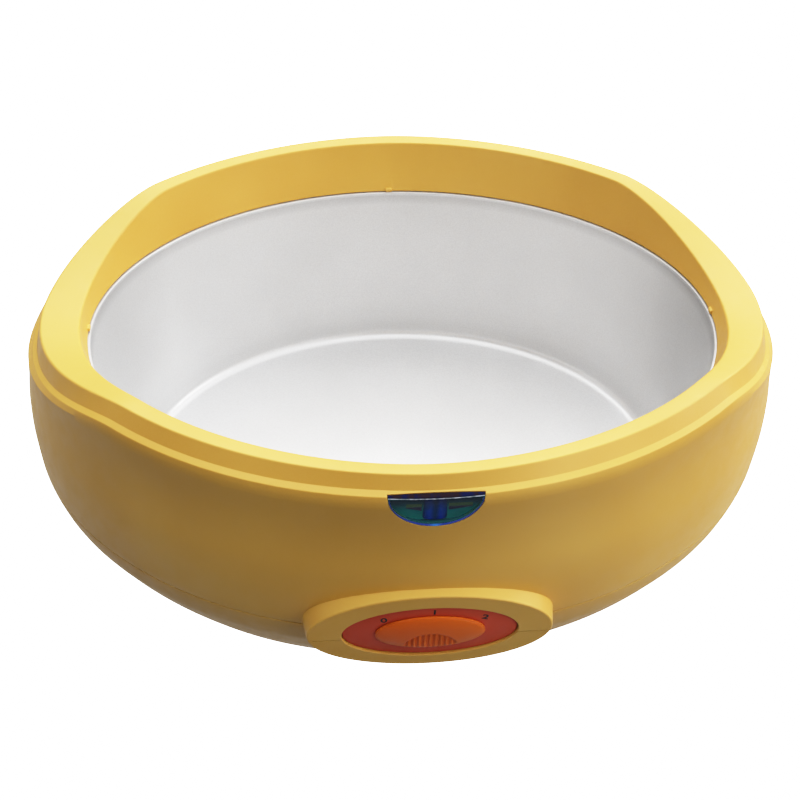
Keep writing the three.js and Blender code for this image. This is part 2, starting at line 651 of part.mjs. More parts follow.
// screw pointing up: headZ is the shank side of the head, crown the radius of its flat end
const screw = (place, { headZ, head, crown, chamfer, shankEnd, tip }) => turned([
  [0, headZ - head], [crown, headZ - head], [3.3, headZ - head + chamfer], [3.3, headZ],
  [1.6, headZ], [1.6, shankEnd], [0, shankEnd + tip]], place, 10);
const CLIP_SCREW = {
  headZ: CLIP_TOP - CLIP_T - GAP, head: 2.4, crown: 2.4, chamfer: 1,
  shankEnd: LIP_Z + 11.5, tip: 1,
};
const HOUSING_SCREW = {
  headZ: 47.7, head: 2.7, crown: 2.6, chamfer: 0.8, shankEnd: 74, tip: 1.5,
};

// pad with a barbed stem that snaps through the base
const foot = place => turned([
  [0, 0], [FOOT_R - 0.6, 0], [FOOT_R, 0.7], [FOOT_R - 0.4, 3.7], [3, 3.7], [3, 6.9],
  [4.1, 6.9], [3.2, 9.4], [0, 9.4]], place, 14);

// ---- assembly ----
const root = new THREE.Group();
root.name = 'wax_warmer_pot';

function add(name, body, color, { roughness, metalness = 0 }) {
  const material = new THREE.MeshStandardMaterial({ color, roughness, metalness });
  const mesh = new THREE.Mesh(surface(body), material);
  mesh.name = name;
  root.add(mesh);
}
const plastic = roughness => ({ roughness });
const metal = roughness => ({ roughness, metalness: 1 });

const skin = upperSkin();
add('upper_shell', upperShell(skin), 0xe6cd7c, plastic(0.42));
add('lower_shell', lowerShell(), 0xc9a35a, plastic(0.45));
add('wax_tub', waxTub(), 0xcfcdcc, metal(0.32));
add('tub_gasket', tubGasket(), 0x4a4a48, plastic(0.8));
add('label_plate', labelPlate(), 0x91372a, plastic(0.45));
add('slider_knob', sliderKnob(), 0xc0622a, plastic(0.38));
add('slider_carriage', sliderCarriage(), 0x2c2c2e, plastic(0.5));
add('slider_guide', sliderGuide(), 0x3a3a3c, plastic(0.5));
add('thermostat_body', thermostatBody(), 0x8b5a34, plastic(0.6));
add('thermostat_bracket', thermostatBracket(), 0x9a9da0, metal(0.4));
add('thermostat_shaft', thermostatShaft(), 0xb8a060, metal(0.35));
add('thermostat_lever', thermostatLever(), 0xe4dfd2, plastic(0.5));
add('indicator_lens', indicatorLens(skin), 0x2c6a78, plastic(0.12));
add('indicator_lamp', cylX(2.2, 8, LAMP.y, LAMP.z), 0xd8e0e4, plastic(0.1));
add('lamp_holder', lampHolder(), 0x2a2a2c, plastic(0.55));
add('heating_element', heatingElement(), 0x6e6a66, metal(0.45));
add('thermal_fuse', cylX(2.2, 8, FUSE.y, FUSE.z), 0xc9c3b4, plastic(0.4));
add('fuse_clip', fuseClip(), 0xa5a8aa, metal(0.35));
add('heat_shield', ovalSheet(118, 82, SHIELD_Z), 0xc4c6c8, metal(0.3));
add('insulation_pad', ovalSheet(116, 80, PAD_Z), 0xe2ded2, plastic(0.95));
add('terminal_block', terminalBlock(), 0xe8e6df, plastic(0.5));
add('power_inlet', powerInlet(), 0x1c1c1e, plastic(0.5));
add('lead_right', sideLead(1), 0x2e2e30, plastic(0.6));
add('lead_left', sideLead(-1), 0xc9c9c4, plastic(0.6));
add('lead_earth', lead(EARTH_LEAD, 14), 0x5f8a3c, plastic(0.6));

// one numbered piece per place
function addEach(name, places, build, color, finish) {
  places.forEach((place, i) => add(`${name}_${i + 1}`, build(place, i), color, finish));
}
addEach('heater_strap', STRAP_ANGLES, heaterStrap, 0xa9acae, metal(0.4));
addEach('strap_nut', studs, strapNut, 0x9c9ea0, metal(0.35));
addEach('inlet_pin', PIN_POSITIONS, inletPin, 0xc9b37a, metal(0.3));
clipPlaces.forEach((place, i) => {
  add(`tub_clip_${i + 1}`, tubClip(place, i), 0xa5a8aa, metal(0.38));
  add(`clip_screw_${i + 1}`, screw(place, CLIP_SCREW), 0x9c9ea0, metal(0.35));
});
addEach('housing_screw', screwPlaces, place => screw(place, HOUSING_SCREW), 0x8f9193, metal(0.35));
addEach('foot', FOOT_PLACES, foot, 0x2b2b2b, plastic(0.85));

export default root;
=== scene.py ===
# Oval wax warmer: a two-part plastic housing around a metal tub, with a D-shaped indicator
# window and a control panel with a sliding knob.
# It stands on z = 0, long axis along X, front towards -Y, right towards +X, back towards +Y.
# Shapes are worked out in mm and scaled to metres when a mesh is made.
import math
from contextlib import contextmanager

import bmesh
import bpy
import numpy as np
from mathutils import Matrix, Vector


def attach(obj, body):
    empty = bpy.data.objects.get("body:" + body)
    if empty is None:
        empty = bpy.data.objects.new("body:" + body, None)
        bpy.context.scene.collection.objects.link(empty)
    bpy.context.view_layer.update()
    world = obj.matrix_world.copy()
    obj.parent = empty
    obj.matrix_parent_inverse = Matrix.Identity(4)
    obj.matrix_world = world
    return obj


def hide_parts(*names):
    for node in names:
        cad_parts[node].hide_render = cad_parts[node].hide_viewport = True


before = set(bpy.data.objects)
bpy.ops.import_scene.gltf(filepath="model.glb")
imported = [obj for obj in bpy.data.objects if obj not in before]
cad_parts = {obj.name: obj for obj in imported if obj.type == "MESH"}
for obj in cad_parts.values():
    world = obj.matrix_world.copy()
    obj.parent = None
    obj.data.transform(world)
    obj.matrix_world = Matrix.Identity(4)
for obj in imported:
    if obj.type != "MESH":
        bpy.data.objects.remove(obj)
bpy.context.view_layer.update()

# ------------------------------------------------------------------ dimensions, mm
MM = 0.001
LIP_Z = 116.0                    # lip of the tub; "height" below means height above this lip
WALL, GAP = 2.6, 0.3             # housing wall, clearance between pieces
OVAL_SEG = 432                   # points round every oval row

# Ovals are superellipses, given by an offset outwards from the tub's top edge
TUB_HALF_X, TUB_HALF_Y = 150.0, 116.3
TUB_POWER, BODY_POWER, BODY_POWER_LOW = 1.97, 1.88, 0.01    # the last is added low on the body
Y_TRIM = -4.5                    # correction of the body's half depth
TUB_DEPTH, TUB_TAPER, TUB_FILLET, TUB_SHEET, TUB_BEAD = 89.7, 15.6, 13.0, 1.5, 1.1
DIP_END, DIP_POWER = 34.7, 0.8   # the rim dips within this many degrees of the X axis

BODY_OFFSET = 26.6
BODY_PROFILE = [                 # (height, offset beyond BODY_OFFSET), top to bottom
    (24, -0.4), (18, 0), (5, 0.2), (-10, 1.7), (-25, 4.0), (-40, 4.92), (-54, 4.8), (-68, 2.4),
    (-76, -1.2), (-85, -5.8), (-95, -11.9), (-105, -18.5), (-109, -21.7), (-111.2, -25.4),
    (-112, -29.4)]
BASE_HEIGHT, PART_HEIGHT = -112.0, -55.7     # underside, parting line
PART_Z = LIP_Z + PART_HEIGHT
UPPER_END, LOWER_END = PART_HEIGHT + GAP / 2, PART_HEIGHT - GAP / 2
FRONT_FLAT, FRONT_WIDTH = 3.4, 60.0          # how much, and how widely, the front is flattened

# Control panel (HW and HH are half width and half height)
PANEL_Z, PANEL_Y = LIP_Z - 53.3, -143.2
BOSS_Z, BOSS_ROUND = PANEL_Z + 0.5, 0.8
BOSS_HW, BOSS_HH, BOSS_BASE_HW, BOSS_BASE_HH = 52.0, 22.9, 54.0, 25.1
PLATE_HW, PLATE_HH, PLATE_T, PLATE_RECESS = 37.0, 15.5, 1.5, 1.0
PLATE_Y = PANEL_Y + PLATE_RECESS
OPENING_HW, OPENING_HH = 33.0, 12.0
KNOB_HW, KNOB_HH = 23.2, 10.0
TRAVEL, STEM = 8.0, 6.0

# Indicator window: straight top edge, bowed lower edge
WINDOW_HW, WINDOW_TOP, WINDOW_BOTTOM, WINDOW_POWER = 18.8, 22.9, 5.3, 0.86
WINDOW_BACK_Y, WINDOW_LEDGE_Y = -132.1, -133.5

INLET_Z, INLET_Y = 40.0, 143.3
FOOT_X, FOOT_Y = 98.0, 66.0


# ------------------------------------------------------------------ mesh helpers
@contextmanager
def editing(ob):
    bm = bmesh.new()
    bm.from_mesh(ob.data)
    yield bm
    bm.to_mesh(ob.data)
    bm.free()


def link(name, data):
    ob = bpy.data.objects.new(name, data)
    bpy.context.scene.collection.objects.link(ob)
    return ob


def new_object(name, verts, faces):
    """Closed mesh from points in mm."""
    me = bpy.data.meshes.new(name)
    me.from_pydata([tuple(v) for v in verts * MM], [], faces)
    me.validate()
    ob = link(name, me)
    face_outwards(ob)
    shade(ob)
    return ob


def face_outwards(ob):
    with editing(ob) as bm:
        bmesh.ops.recalc_face_normals(bm, faces=bm.faces[:])
        if bm.calc_volume(signed=True) < 0:
            bmesh.ops.reverse_faces(bm, faces=bm.faces[:])


def shade(ob, angle=32.0):
    """Smooth shading, with edges sharper than the angle (degrees) kept hard."""
    limit = math.radians(angle)
    with editing(ob) as bm:
        for face in bm.faces:
            face.smooth = True
        for edge in bm.edges:
            hard = len(edge.link_faces) == 2 and edge.calc_face_angle(0.0) > limit
            edge.smooth = not hard


def tidy(ob, dist=2e-6):
    with editing(ob) as bm:
        bmesh.ops.remove_doubles(bm, verts=bm.verts[:], dist=dist)
        bmesh.ops.dissolve_degenerate(bm, dist=dist, edges=bm.edges[:])


def apply_modifiers(ob):
    graph = bpy.context.evaluated_depsgraph_get()
    graph.update()
    me = bpy.data.meshes.new_from_object(ob.evaluated_get(graph))
    ob.modifiers.clear()
    old = ob.data
    ob.data = me
    bpy.data.meshes.remove(old)


def boolean(ob, other, operation):
    """Combine ob with other, which is used up."""
    mod = ob.modifiers.new("b", "BOOLEAN")
    mod.operation = operation
    mod.solver = "EXACT"
    mod.object = other
    apply_modifiers(ob)
    bpy.data.objects.remove(other)


def cut(ob, cutter):
    boolean(ob, cutter, "DIFFERENCE")


def register(ob, replaced=None, group="housing"):
    if replaced:
        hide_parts(replaced)
    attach(ob, group)


def band_faces(rings, seg, closed=False):
    """Quads between neighbouring rings of seg points."""
    faces = []
    for j in range(rings if closed else rings - 1):
        a, b = j * seg, ((j + 1) % rings) * seg
        for i in range(seg):
            k = (i + 1) % seg
            faces.append((a + i, a + k, b + k, b + i))
    return faces


def circle_angles(count):
    return np.linspace(0, 2 * np.pi, count, endpoint=False)


# ------------------------------------------------------------------ plain solids
def stack_solid(name, rings):
    """Solid through rings of equal point count, with flat ends."""
    count, seg = len(rings), len(rings[0])
    faces = band_faces(count, seg)
    faces.append(tuple(range(seg))[::-1])
    faces.append(tuple((count - 1) * seg + i for i in range(seg)))
    return new_object(name, np.concatenate(rings), faces)


def ellipse_ring(half_width, half_height, y, center_z=PANEL_Z):
    t = circle_angles(256)
    return np.stack([half_width * np.cos(t), np.full(256, float(y)),
                     center_z + half_height * np.sin(t)], 1)


def box_solid(name, x0, x1, y0, y1, z0, z1):
    verts = [(x, y, z) for x in (x0, x1) for y in (y0, y1) for z in (z0, z1)]
    faces = [(0, 1, 3, 2), (4, 6, 7, 5), (0, 4, 5, 1), (2, 3, 7, 6), (0, 2, 6, 4), (1, 5, 7, 3)]
    return new_object(name, np.array(verts, float), faces)


def round_rect(hw, hh, r, seg=10):
    points = []
    corners = ((hw - r, hh - r, 0), (-hw + r, hh - r, 90),
               (-hw + r, -hh + r, 180), (hw - r, -hh + r, 270))
    for x, z, start in corners:
        for k in range(seg + 1):
            t = math.radians(start + 90 * k / seg)
            points.append((x + r * math.cos(t), z + r * math.sin(t)))
    return np.array(points)


def rect_plug(name, half_width, half_height, radius, levels, center_z):
    """Rounded-rectangle solid along Y; levels are (y, inset)."""
    rings = []
    for y, inset in levels:
        p = round_rect(half_width - inset, half_height - inset, max(radius - inset, 0.4))
        rings.append(np.stack([p[:, 0], np.full(len(p), float(y)), center_z + p[:, 1]], 1))
    return stack_solid(name, rings)


def upright_cylinder(name, radius, z0, z1, x, y):
    t = circle_angles(48)
    return stack_solid(name, [
        np.stack([x + radius * np.cos(t), y + radius * np.sin(t), np.full(48, float(z))], 1)
        for z in (z0, z1)])


def d_prism(name, half_width, top, bottom, y0, y1, seg=72):
    """Solid along Y with the window's outline; top and bottom are heights."""
    depth = top - bottom
    points = np.array([(half_width * math.cos(math.pi * i / seg),
                        top - depth * math.sin(math.pi * i / seg) ** WINDOW_POWER)
                       for i in range(seg + 1)])
    return stack_solid(name, [
        np.stack([points[:, 0], np.full(len(points), float(y)), LIP_Z + points[:, 1]], 1)
        for y in (y0, y1)])


# ------------------------------------------------------------------ oval rows
PHI = circle_angles(OVAL_SEG)
PROFILE_HEIGHTS, PROFILE_OFFSETS = np.array(BODY_PROFILE[::-1], float).T


def monotone_cubic(xs, ys, x):
    """Monotone cubic curve through the points (xs, ys), read at x."""
    x = np.asarray(x, float)
    h = np.diff(xs)
    d = np.diff(ys) / h
    slope = np.zeros(len(xs))
    slope[0], slope[-1] = d[0], d[-1]
    for i in range(1, len(xs) - 1):
        if d[i - 1] * d[i] > 0:
            w1, w2 = 2 * h[i] + h[i - 1], h[i] + 2 * h[i - 1]
            slope[i] = (w1 + w2) / (w1 / d[i - 1] + w2 / d[i])
    x = np.clip(x, xs[0], xs[-1])
    i = np.clip(np.searchsorted(xs, x, side="right") - 1, 0, len(xs) - 2)
    t = (x - xs[i]) / h[i]
    return ((1 + 2 * t) * (1 - t) ** 2 * ys[i] + t * (1 - t) ** 2 * h[i] * slope[i]
            + t * t * (3 - 2 * t) * ys[i + 1] + t * t * (t - 1) * h[i] * slope[i + 1])


def dip_weight(phi):
    """1 at the left and right ends of the oval, easing to 0 at DIP_END."""
    from_x = np.degrees(np.arctan2(np.abs(np.sin(phi)), np.abs(np.cos(phi))))
    t = np.clip((DIP_END - from_x) / DIP_END, 0, 1) ** DIP_POWER
    return t * t * (3 - 2 * t)


def oval_row(offset, height, power, y_trim, flat, phi=PHI):
    """Points of one oval; flat pulls the middle of the front inwards."""
    a, b = TUB_HALF_X + offset, TUB_HALF_Y + offset + y_trim
    soft = 0.02                  # keeps the curve smooth where it crosses the axes
    c, s = np.cos(phi), np.sin(phi)
    r = (((c / a) ** 2 + (soft / a) ** 2) ** (power / 2)
         + ((s / b) ** 2 + (soft / b) ** 2) ** (power / 2)) ** (-1 / power)
    x, y = r * c, r * s
    y = np.where(y < 0, y + flat * np.exp(-(x / FRONT_WIDTH) ** 2), y)
    return np.stack([x, y, np.broadcast_to(height, phi.shape) + LIP_Z], 1)


def full(value):
    return np.broadcast_to(np.asarray(value, float), PHI.shape).copy()


def station(offset, height, power=BODY_POWER, y_trim=Y_TRIM, flat=0.0, corner=None):
    """Profile point, each value one number or one per PHI; corner is (radius, steps)."""
    return np.stack([full(v) for v in (offset, height, power, y_trim, flat)]), corner


def tub_station(offset, height, corner=None):
    return station(offset, height, TUB_POWER, 0, corner=corner)


def wall_station(height, inset=0.0, corner=None):
    """Point on the body's outer wall, or inset behind it."""
    height = full(height)
    power = BODY_POWER + BODY_POWER_LOW * np.clip((-height - 5) / 40, 0, 1)
    flat = FRONT_FLAT * np.clip(1 - (height + 10) / 62, 0.55, 1)
    bulge = monotone_cubic(PROFILE_HEIGHTS, PROFILE_OFFSETS, height)
    return station(BODY_OFFSET + bulge - inset, height, power, flat=flat, corner=corner)


def round_corners(stations, closed):
    """Rows of oval_row values, with the marked corners rounded."""
    rows, count = [], len(stations)
    for i, (here, corner) in enumerate(stations):
        if corner is None or (not closed and i in (0, count - 1)):
            rows.append(here)
            continue
        radius, steps = corner
        back = stations[(i - 1) % count][0] - here
        ahead = stations[(i + 1) % count][0] - here
        len_back = np.hypot(back[0], back[1]) + 1e-9
        len_ahead = np.hypot(ahead[0], ahead[1]) + 1e-9
        cosine = (back[0] * ahead[0] + back[1] * ahead[1]) / (len_back * len_ahead)
        reach = radius / np.tan(np.arccos(np.clip(cosine, -0.9999, 0.9999)) / 2)
        start = here + back * (np.minimum(reach, len_back * 0.48) / len_back)
        end = here + ahead * (np.minimum(reach, len_ahead * 0.48) / len_ahead)
        for s in np.linspace(0, 1, steps + 1):
            rows.append((1 - s) ** 2 * start + 2 * s * (1 - s) * here + s * s * end)
    return rows


def oval_mesh(name, stations, caps=None):
    """Skin through oval rows. The profile closes on itself, or ends in axis points at the
    two cap heights."""
    closed = caps is None
    rows = round_corners(stations, closed)
    verts = np.concatenate([oval_row(*row) for row in rows])
    faces = band_faces(len(rows), OVAL_SEG, closed)
    if not closed:
        first, last_row = len(verts), (len(rows) - 1) * OVAL_SEG
        verts = np.concatenate([verts, [(0, 0, height + LIP_Z) for height in caps]])
        faces += [(first, (i + 1) % OVAL_SEG, i) for i in range(OVAL_SEG)]
        faces += [(first + 1, last_row + i, last_row + (i + 1) % OVAL_SEG)
                  for i in range(OVAL_SEG)]
    return new_object(name, verts, faces)


# ------------------------------------------------------------------ housing shells
def upper_shell():
    dip = dip_weight(PHI)
    mid_power = (TUB_POWER + BODY_POWER) / 2
    # how far the crest's inner edge, its outer edge and the shoulder sink at the ends
    inner_drop, outer_drop, shoulder_drop = 16.5 * dip, 16.7 * dip, 21.6 * dip
    shoulder = 20.6
    wall_top = shoulder - 2.5 - shoulder_drop
    wall_drop = UPPER_END - wall_top
    stations = [                 # offset, height, power, y trim, flat
        tub_station(-0.5, GAP + 0.15, corner=(0.45, 4)),
        station(3.4 - 2.3 * dip, 13.4 - 8.2 * dip, (TUB_POWER + mid_power) / 2, 0, 0),
        station(6.3 - 4.6 * dip, 26.5 - inner_drop, mid_power, 0, 0, corner=(1.5, 6)),
        station(12.0 - 1.2 * dip, 26.85 - 16.6 * dip, (mid_power + BODY_POWER) / 2,
                Y_TRIM / 2, 0.25),
        station(17.8 + 2.2 * dip, 27.2 - outer_drop, flat=0.5, corner=(1.7, 7)),
        station(22.7, 21.8 - shoulder_drop, flat=1.9, corner=(0.6, 4)),
        station(25.4 - 0.7 * dip, shoulder - shoulder_drop, flat=1.9, corner=(0.9, 5)),
    ]
    stations += [wall_station(wall_top + wall_drop * t) for t in np.linspace(0, 1, 20)[:-1]]
    stations += [
        wall_station(UPPER_END, corner=(0.25, 3)),
        wall_station(UPPER_END, WALL, corner=(0.2, 2)),
    ]
    # back up the inside
    stations += [wall_station(wall_top + wall_drop * t, WALL)
                 for t in (0.96, 0.75, 0.5, 0.25, 0.01)]
    stations += [
        station(21.0, 18.5 - shoulder_drop, flat=1.9),
        station(15.2 + 2.2 * dip, 24.5 - outer_drop, flat=0.5),
        station(8.8 - 4.6 * dip, 23.8 - inner_drop, mid_power, 0, 0),
        tub_station(3.0, GAP, corner=(0.3, 3)),
    ]
    return oval_mesh("housing_upper", stations)


def lower_shell():
    outer = (-111.95, -111.6, -111.0, -110.0, -108.5, *np.linspace(-106.5, LOWER_END, 22)[:-1])
    stations = [wall_station(height) for height in outer]
    stations += [                # the edge, with a tongue that reaches up inside the upper half
        wall_station(LOWER_END, corner=(0.25, 3)),
        wall_station(LOWER_END, WALL + GAP),
        wall_station(PART_HEIGHT + 2.2, WALL + GAP),
        wall_station(PART_HEIGHT + 2.2, WALL + 1.5),
        wall_station(LOWER_END - 5.5, WALL + 1.5),
    ]
    stations += [wall_station(height, WALL)
                 for height in (LOWER_END - 8, -70, -78, -86, -94, -102)]
    stations += [
        station(BODY_OFFSET - 21.2 - WALL - 0.6, BASE_HEIGHT + WALL + 1.4, flat=2.4),
        station(BODY_OFFSET - 25.6 - WALL, BASE_HEIGHT + WALL, flat=2.4),
    ]
    return oval_mesh("housing_lower", stations, caps=(BASE_HEIGHT, BASE_HEIGHT + WALL))


def wall_core(heights):
    """Solid that fills the body to just inside the wall."""
    return oval_mesh("core", [wall_station(height, WALL - 0.4) for height in heights],
                     caps=(heights[0], heights[-1]))


def panel_boss(z0, z1):
    """Elliptical boss on the front, the part between two heights."""
    edge = BOSS_ROUND
    rings = [ellipse_ring(BOSS_HW - 0.9, BOSS_HH - 0.9, PANEL_Y, BOSS_Z)]
    for k in range(7):
        t = math.pi / 2 * k / 6
        rings.append(ellipse_ring(BOSS_HW - edge + edge * math.sin(t),
                                  BOSS_HH - edge + edge * math.sin(t),
                                  PANEL_Y + edge - edge * math.cos(t), BOSS_Z))
    for f in (0.25, 0.5, 0.75, 1.0):
        y = PANEL_Y + edge + (-128.0 - PANEL_Y - edge) * f
        rings.append(ellipse_ring(BOSS_HW + (BOSS_BASE_HW + 0.6 - BOSS_HW) * f,
                                  BOSS_HH + (BOSS_BASE_HH + 0.6 - BOSS_HH) * f, y, BOSS_Z))
    boss = stack_solid("boss", rings)
    cut(boss, wall_core([*range(-100, -57, 6), *range(-50, -9, 8)]))
    boolean(boss, box_solid("half", -90, 90, -170, -90, z0, z1), "INTERSECT")
    return boss


def cut_window(shell):
    """Take the window out of the shell, and return it as a piece of its own."""
    window = link("indicator_window", shell.data.copy())
    front_y, bar_top = -150, LIP_Z + 40
    boolean(window, d_prism("outline", WINDOW_HW, WINDOW_TOP, WINDOW_BOTTOM,
                            front_y, WINDOW_BACK_Y), "INTERSECT")
    cut(window, d_prism("hollow", WINDOW_HW - 0.7, 18.6, WINDOW_BOTTOM + 0.7, -134.2, -130))
    cut(window, box_solid("bar", -40, 40, WINDOW_LEDGE_Y, -120, LIP_Z + 18.4, bar_top))
    opening = d_prism("opening", WINDOW_HW + GAP, WINDOW_TOP + 0.6, WINDOW_BOTTOM - GAP,
                      front_y, WINDOW_BACK_Y + GAP)
    cut(opening, box_solid("bar", -40, 40, WINDOW_LEDGE_Y + GAP, -120,
                           LIP_Z + 18.9 + GAP, bar_top))
    cut(shell, opening)
    return window


def cut_panel_openings(shell):
    """Seat of the plate, opening behind it, and room for the guide behind the knob."""
    edge = 0.3
    hw, hh = PLATE_HW + GAP, PLATE_HH + GAP
    cut(shell, stack_solid("seat", [
        ellipse_ring(hw + 1.0, hh + 1.0, PANEL_Y - 3),
        ellipse_ring(hw + edge, hh + edge, PANEL_Y - 0.01),
        ellipse_ring(hw, hh, PANEL_Y + edge),
        ellipse_ring(hw, hh, PANEL_Y + PLATE_RECESS + PLATE_T + GAP)]))
    cut(shell, stack_solid("opening", [ellipse_ring(OPENING_HW, OPENING_HH, PANEL_Y - 3),
                                       ellipse_ring(OPENING_HW, OPENING_HH, -124)]))
    cut(shell, box_solid("room", -31.5, 31.5, -135.2, -122, PANEL_Z - 13.5, PANEL_Z + 13.5))


def add_catches(shell):
    """Four small catches over the tub lip, on the axes."""
    for side_x, side_y in ((1, 0), (0, 1), (-1, 0), (0, -1)):
        half_x, half_y = (1.2, 1.9) if side_x else (1.9, 1.2)
        x, y = (TUB_HALF_X - 0.05) * side_x, (TUB_HALF_Y - 0.05) * side_y
        catch = box_solid("catch", x - half_x, x + half_x, y - half_y, y + half_y,
                          LIP_Z + GAP + 0.1, LIP_Z + GAP + 2.1)
        bevel = catch.modifiers.new("bev", "BEVEL")
        bevel.width, bevel.segments = 0.5 * MM, 3
        apply_modifiers(catch)
        boolean(shell, catch, "UNION")


def add_inlet(shell):
    """Pad on the back with the power inlet's opening."""
    pad = rect_plug("pad", 26, 16.5, 8, [(112, 0), (INLET_Y - 1.0, 0), (INLET_Y - 0.3, 0.3),
                                         (INLET_Y, 1.0)], INLET_Z)
    cut(pad, wall_core(range(-100, -51, 6)))
    boolean(shell, pad, "UNION")
    cut(shell, rect_plug("hole", 14.3, 10.3, 1.2, [(104, 0), (165, 0)], INLET_Z))


def cut_underside(shell):
    """Foot holes, cooling slots and screw wells in the floor of the lower half."""
    for side_x in (-1, 1):
        for side_y in (-1, 1):
            cut(shell, upright_cylinder("foot_hole", 3.4, 0, 10,
                                        side_x * FOOT_X, side_y * FOOT_Y))
    first_slot, slot_pitch, slot_half = 22, 11, 1.6
    for i in range(4):
        for side in (-1, 1):
            x = side * (first_slot + i * slot_pitch)
            for y0, y1 in ((84, 100), (-100, -88)):
                cut(shell, box_solid("slot", x - slot_half, x + slot_half, y0, y1, 0, 10))
    for degrees in (38, 142, 218, 322):
        x, y, _ = oval_row(1.5, 0, TUB_POWER, 0, 0, np.array([math.radians(degrees)]))[0]
        cut(shell, upright_cylinder("well", 3.8, -2, 9, x, y))


def build_housing():
    upper, lower = upper_shell(), lower_shell()
    boolean(upper, panel_boss(PART_Z + GAP / 2, PART_Z + 70), "UNION")
    boolean(lower, panel_boss(PART_Z - 70, PART_Z - GAP / 2), "UNION")
    window = cut_window(upper)
    cut_panel_openings(upper)
    cut_panel_openings(lower)
    add_catches(upper)
    add_inlet(lower)
    cut_underside(lower)
    for ob, replaced, slot in ((upper, "upper_shell", "housing_top"),
                               (lower, "lower_shell", "housing_bottom"),
                               (window, "indicator_lens", "lens")):
        tidy(ob)
        face_outwards(ob)
        shade(ob, 30)
        register(ob, replaced)
    return upper, lower, window


# ------------------------------------------------------------------ tub
def build_tub():
    def wall_offset(height):
        return -TUB_BEAD + (TUB_TAPER - TUB_BEAD) * height / TUB_DEPTH

    under = -TUB_DEPTH - TUB_SHEET
    stations = [tub_station(offset, -TUB_DEPTH) for offset in (-110, -85, -60, -40)]
    stations.append(tub_station(-TUB_TAPER, -TUB_DEPTH, corner=(TUB_FILLET * 0.47, 9)))
    stations += [tub_station(wall_offset(height), height) for height in (-66, -52, -38, -24, -10)]
    stations += [
        tub_station(wall_offset(-2.6), -2.6, corner=(0.6, 3)),
        # the lip, over and back under
        tub_station(-1.5, -0.02, corner=(0.75, 5)),
        tub_station(0.5, -0.02, corner=(0.8, 4)),
        tub_station(2.4, -0.35),
        tub_station(8.0, -0.35, corner=(0.3, 2)),
        tub_station(8.0, -1.85, corner=(0.3, 2)),
        tub_station(1.3, -1.95),
        # outside of the cup
        tub_station(wall_offset(-40) + TUB_SHEET, -40),
        tub_station(-TUB_TAPER + TUB_SHEET, under, corner=(TUB_FILLET * 0.8, 6)),
    ]
    tub = oval_mesh("tub_cup", stations, caps=(-TUB_DEPTH, under))
    shade(tub, 50)
    register(tub, "wax_tub")
    return tub


# ------------------------------------------------------------------ panel plate, numerals, knob
def build_plate():
    plate = stack_solid("panel_plate", [
        ellipse_ring(PLATE_HW - inset, PLATE_HH - inset, PLATE_Y + depth)
        for inset, depth in ((0.5, 0), (0.2, 0.08), (0, 0.35), (0, PLATE_T))])
    cut(plate, rect_plug("slot", STEM / 2 + TRAVEL + 0.6, STEM / 2 + 0.5, 0.9,
                         [(-150, 0), (-130, 0)], PANEL_Z))
    face_outwards(plate)
    shade(plate, 30)
    register(plate, "label_plate")
    return plate


NUMERALS = (("0", -19.6, 8.2, 14), ("1", 1.4, 12.0, 0), ("2", 22.9, 7.4, -16))
# text, x, z above the panel's middle, turn in degrees


def build_numeral(text, x, z, turn):
    curve = bpy.data.curves.new("num", "FONT")
    curve.body = text
    curve.size = 3.9 * MM
    curve.extrude = 0.04 * MM
    curve.offset = 0.08 * MM
    curve.align_x, curve.align_y = "CENTER", "CENTER"
    text_ob = link("num", curve)
    graph = bpy.context.evaluated_depsgraph_get()
    me = bpy.data.meshes.new_from_object(text_ob.evaluated_get(graph))
    bpy.data.objects.remove(text_ob)
    ob = link("numeral_" + text, me)
    me.transform(Matrix.Diagonal((1.5, 1, 1, 1)))        # wide figures
    me.transform(Matrix.Rotation(math.radians(turn), 4, "Z"))
    place = Matrix.Translation((x * MM, (PLATE_Y - 0.03) * MM, z * MM + PANEL_Z * MM))
    me.transform(place @ Matrix.Rotation(math.radians(90), 4, "X"))
    with editing(ob) as bm:
        bmesh.ops.remove_doubles(bm, verts=bm.verts[:], dist=1e-7)
    register(ob)
    return ob


def smoothstep(a, b, x):
    t = np.clip((x - a) / (b - a), 0, 1)
    return t * t * (3 - 2 * t)


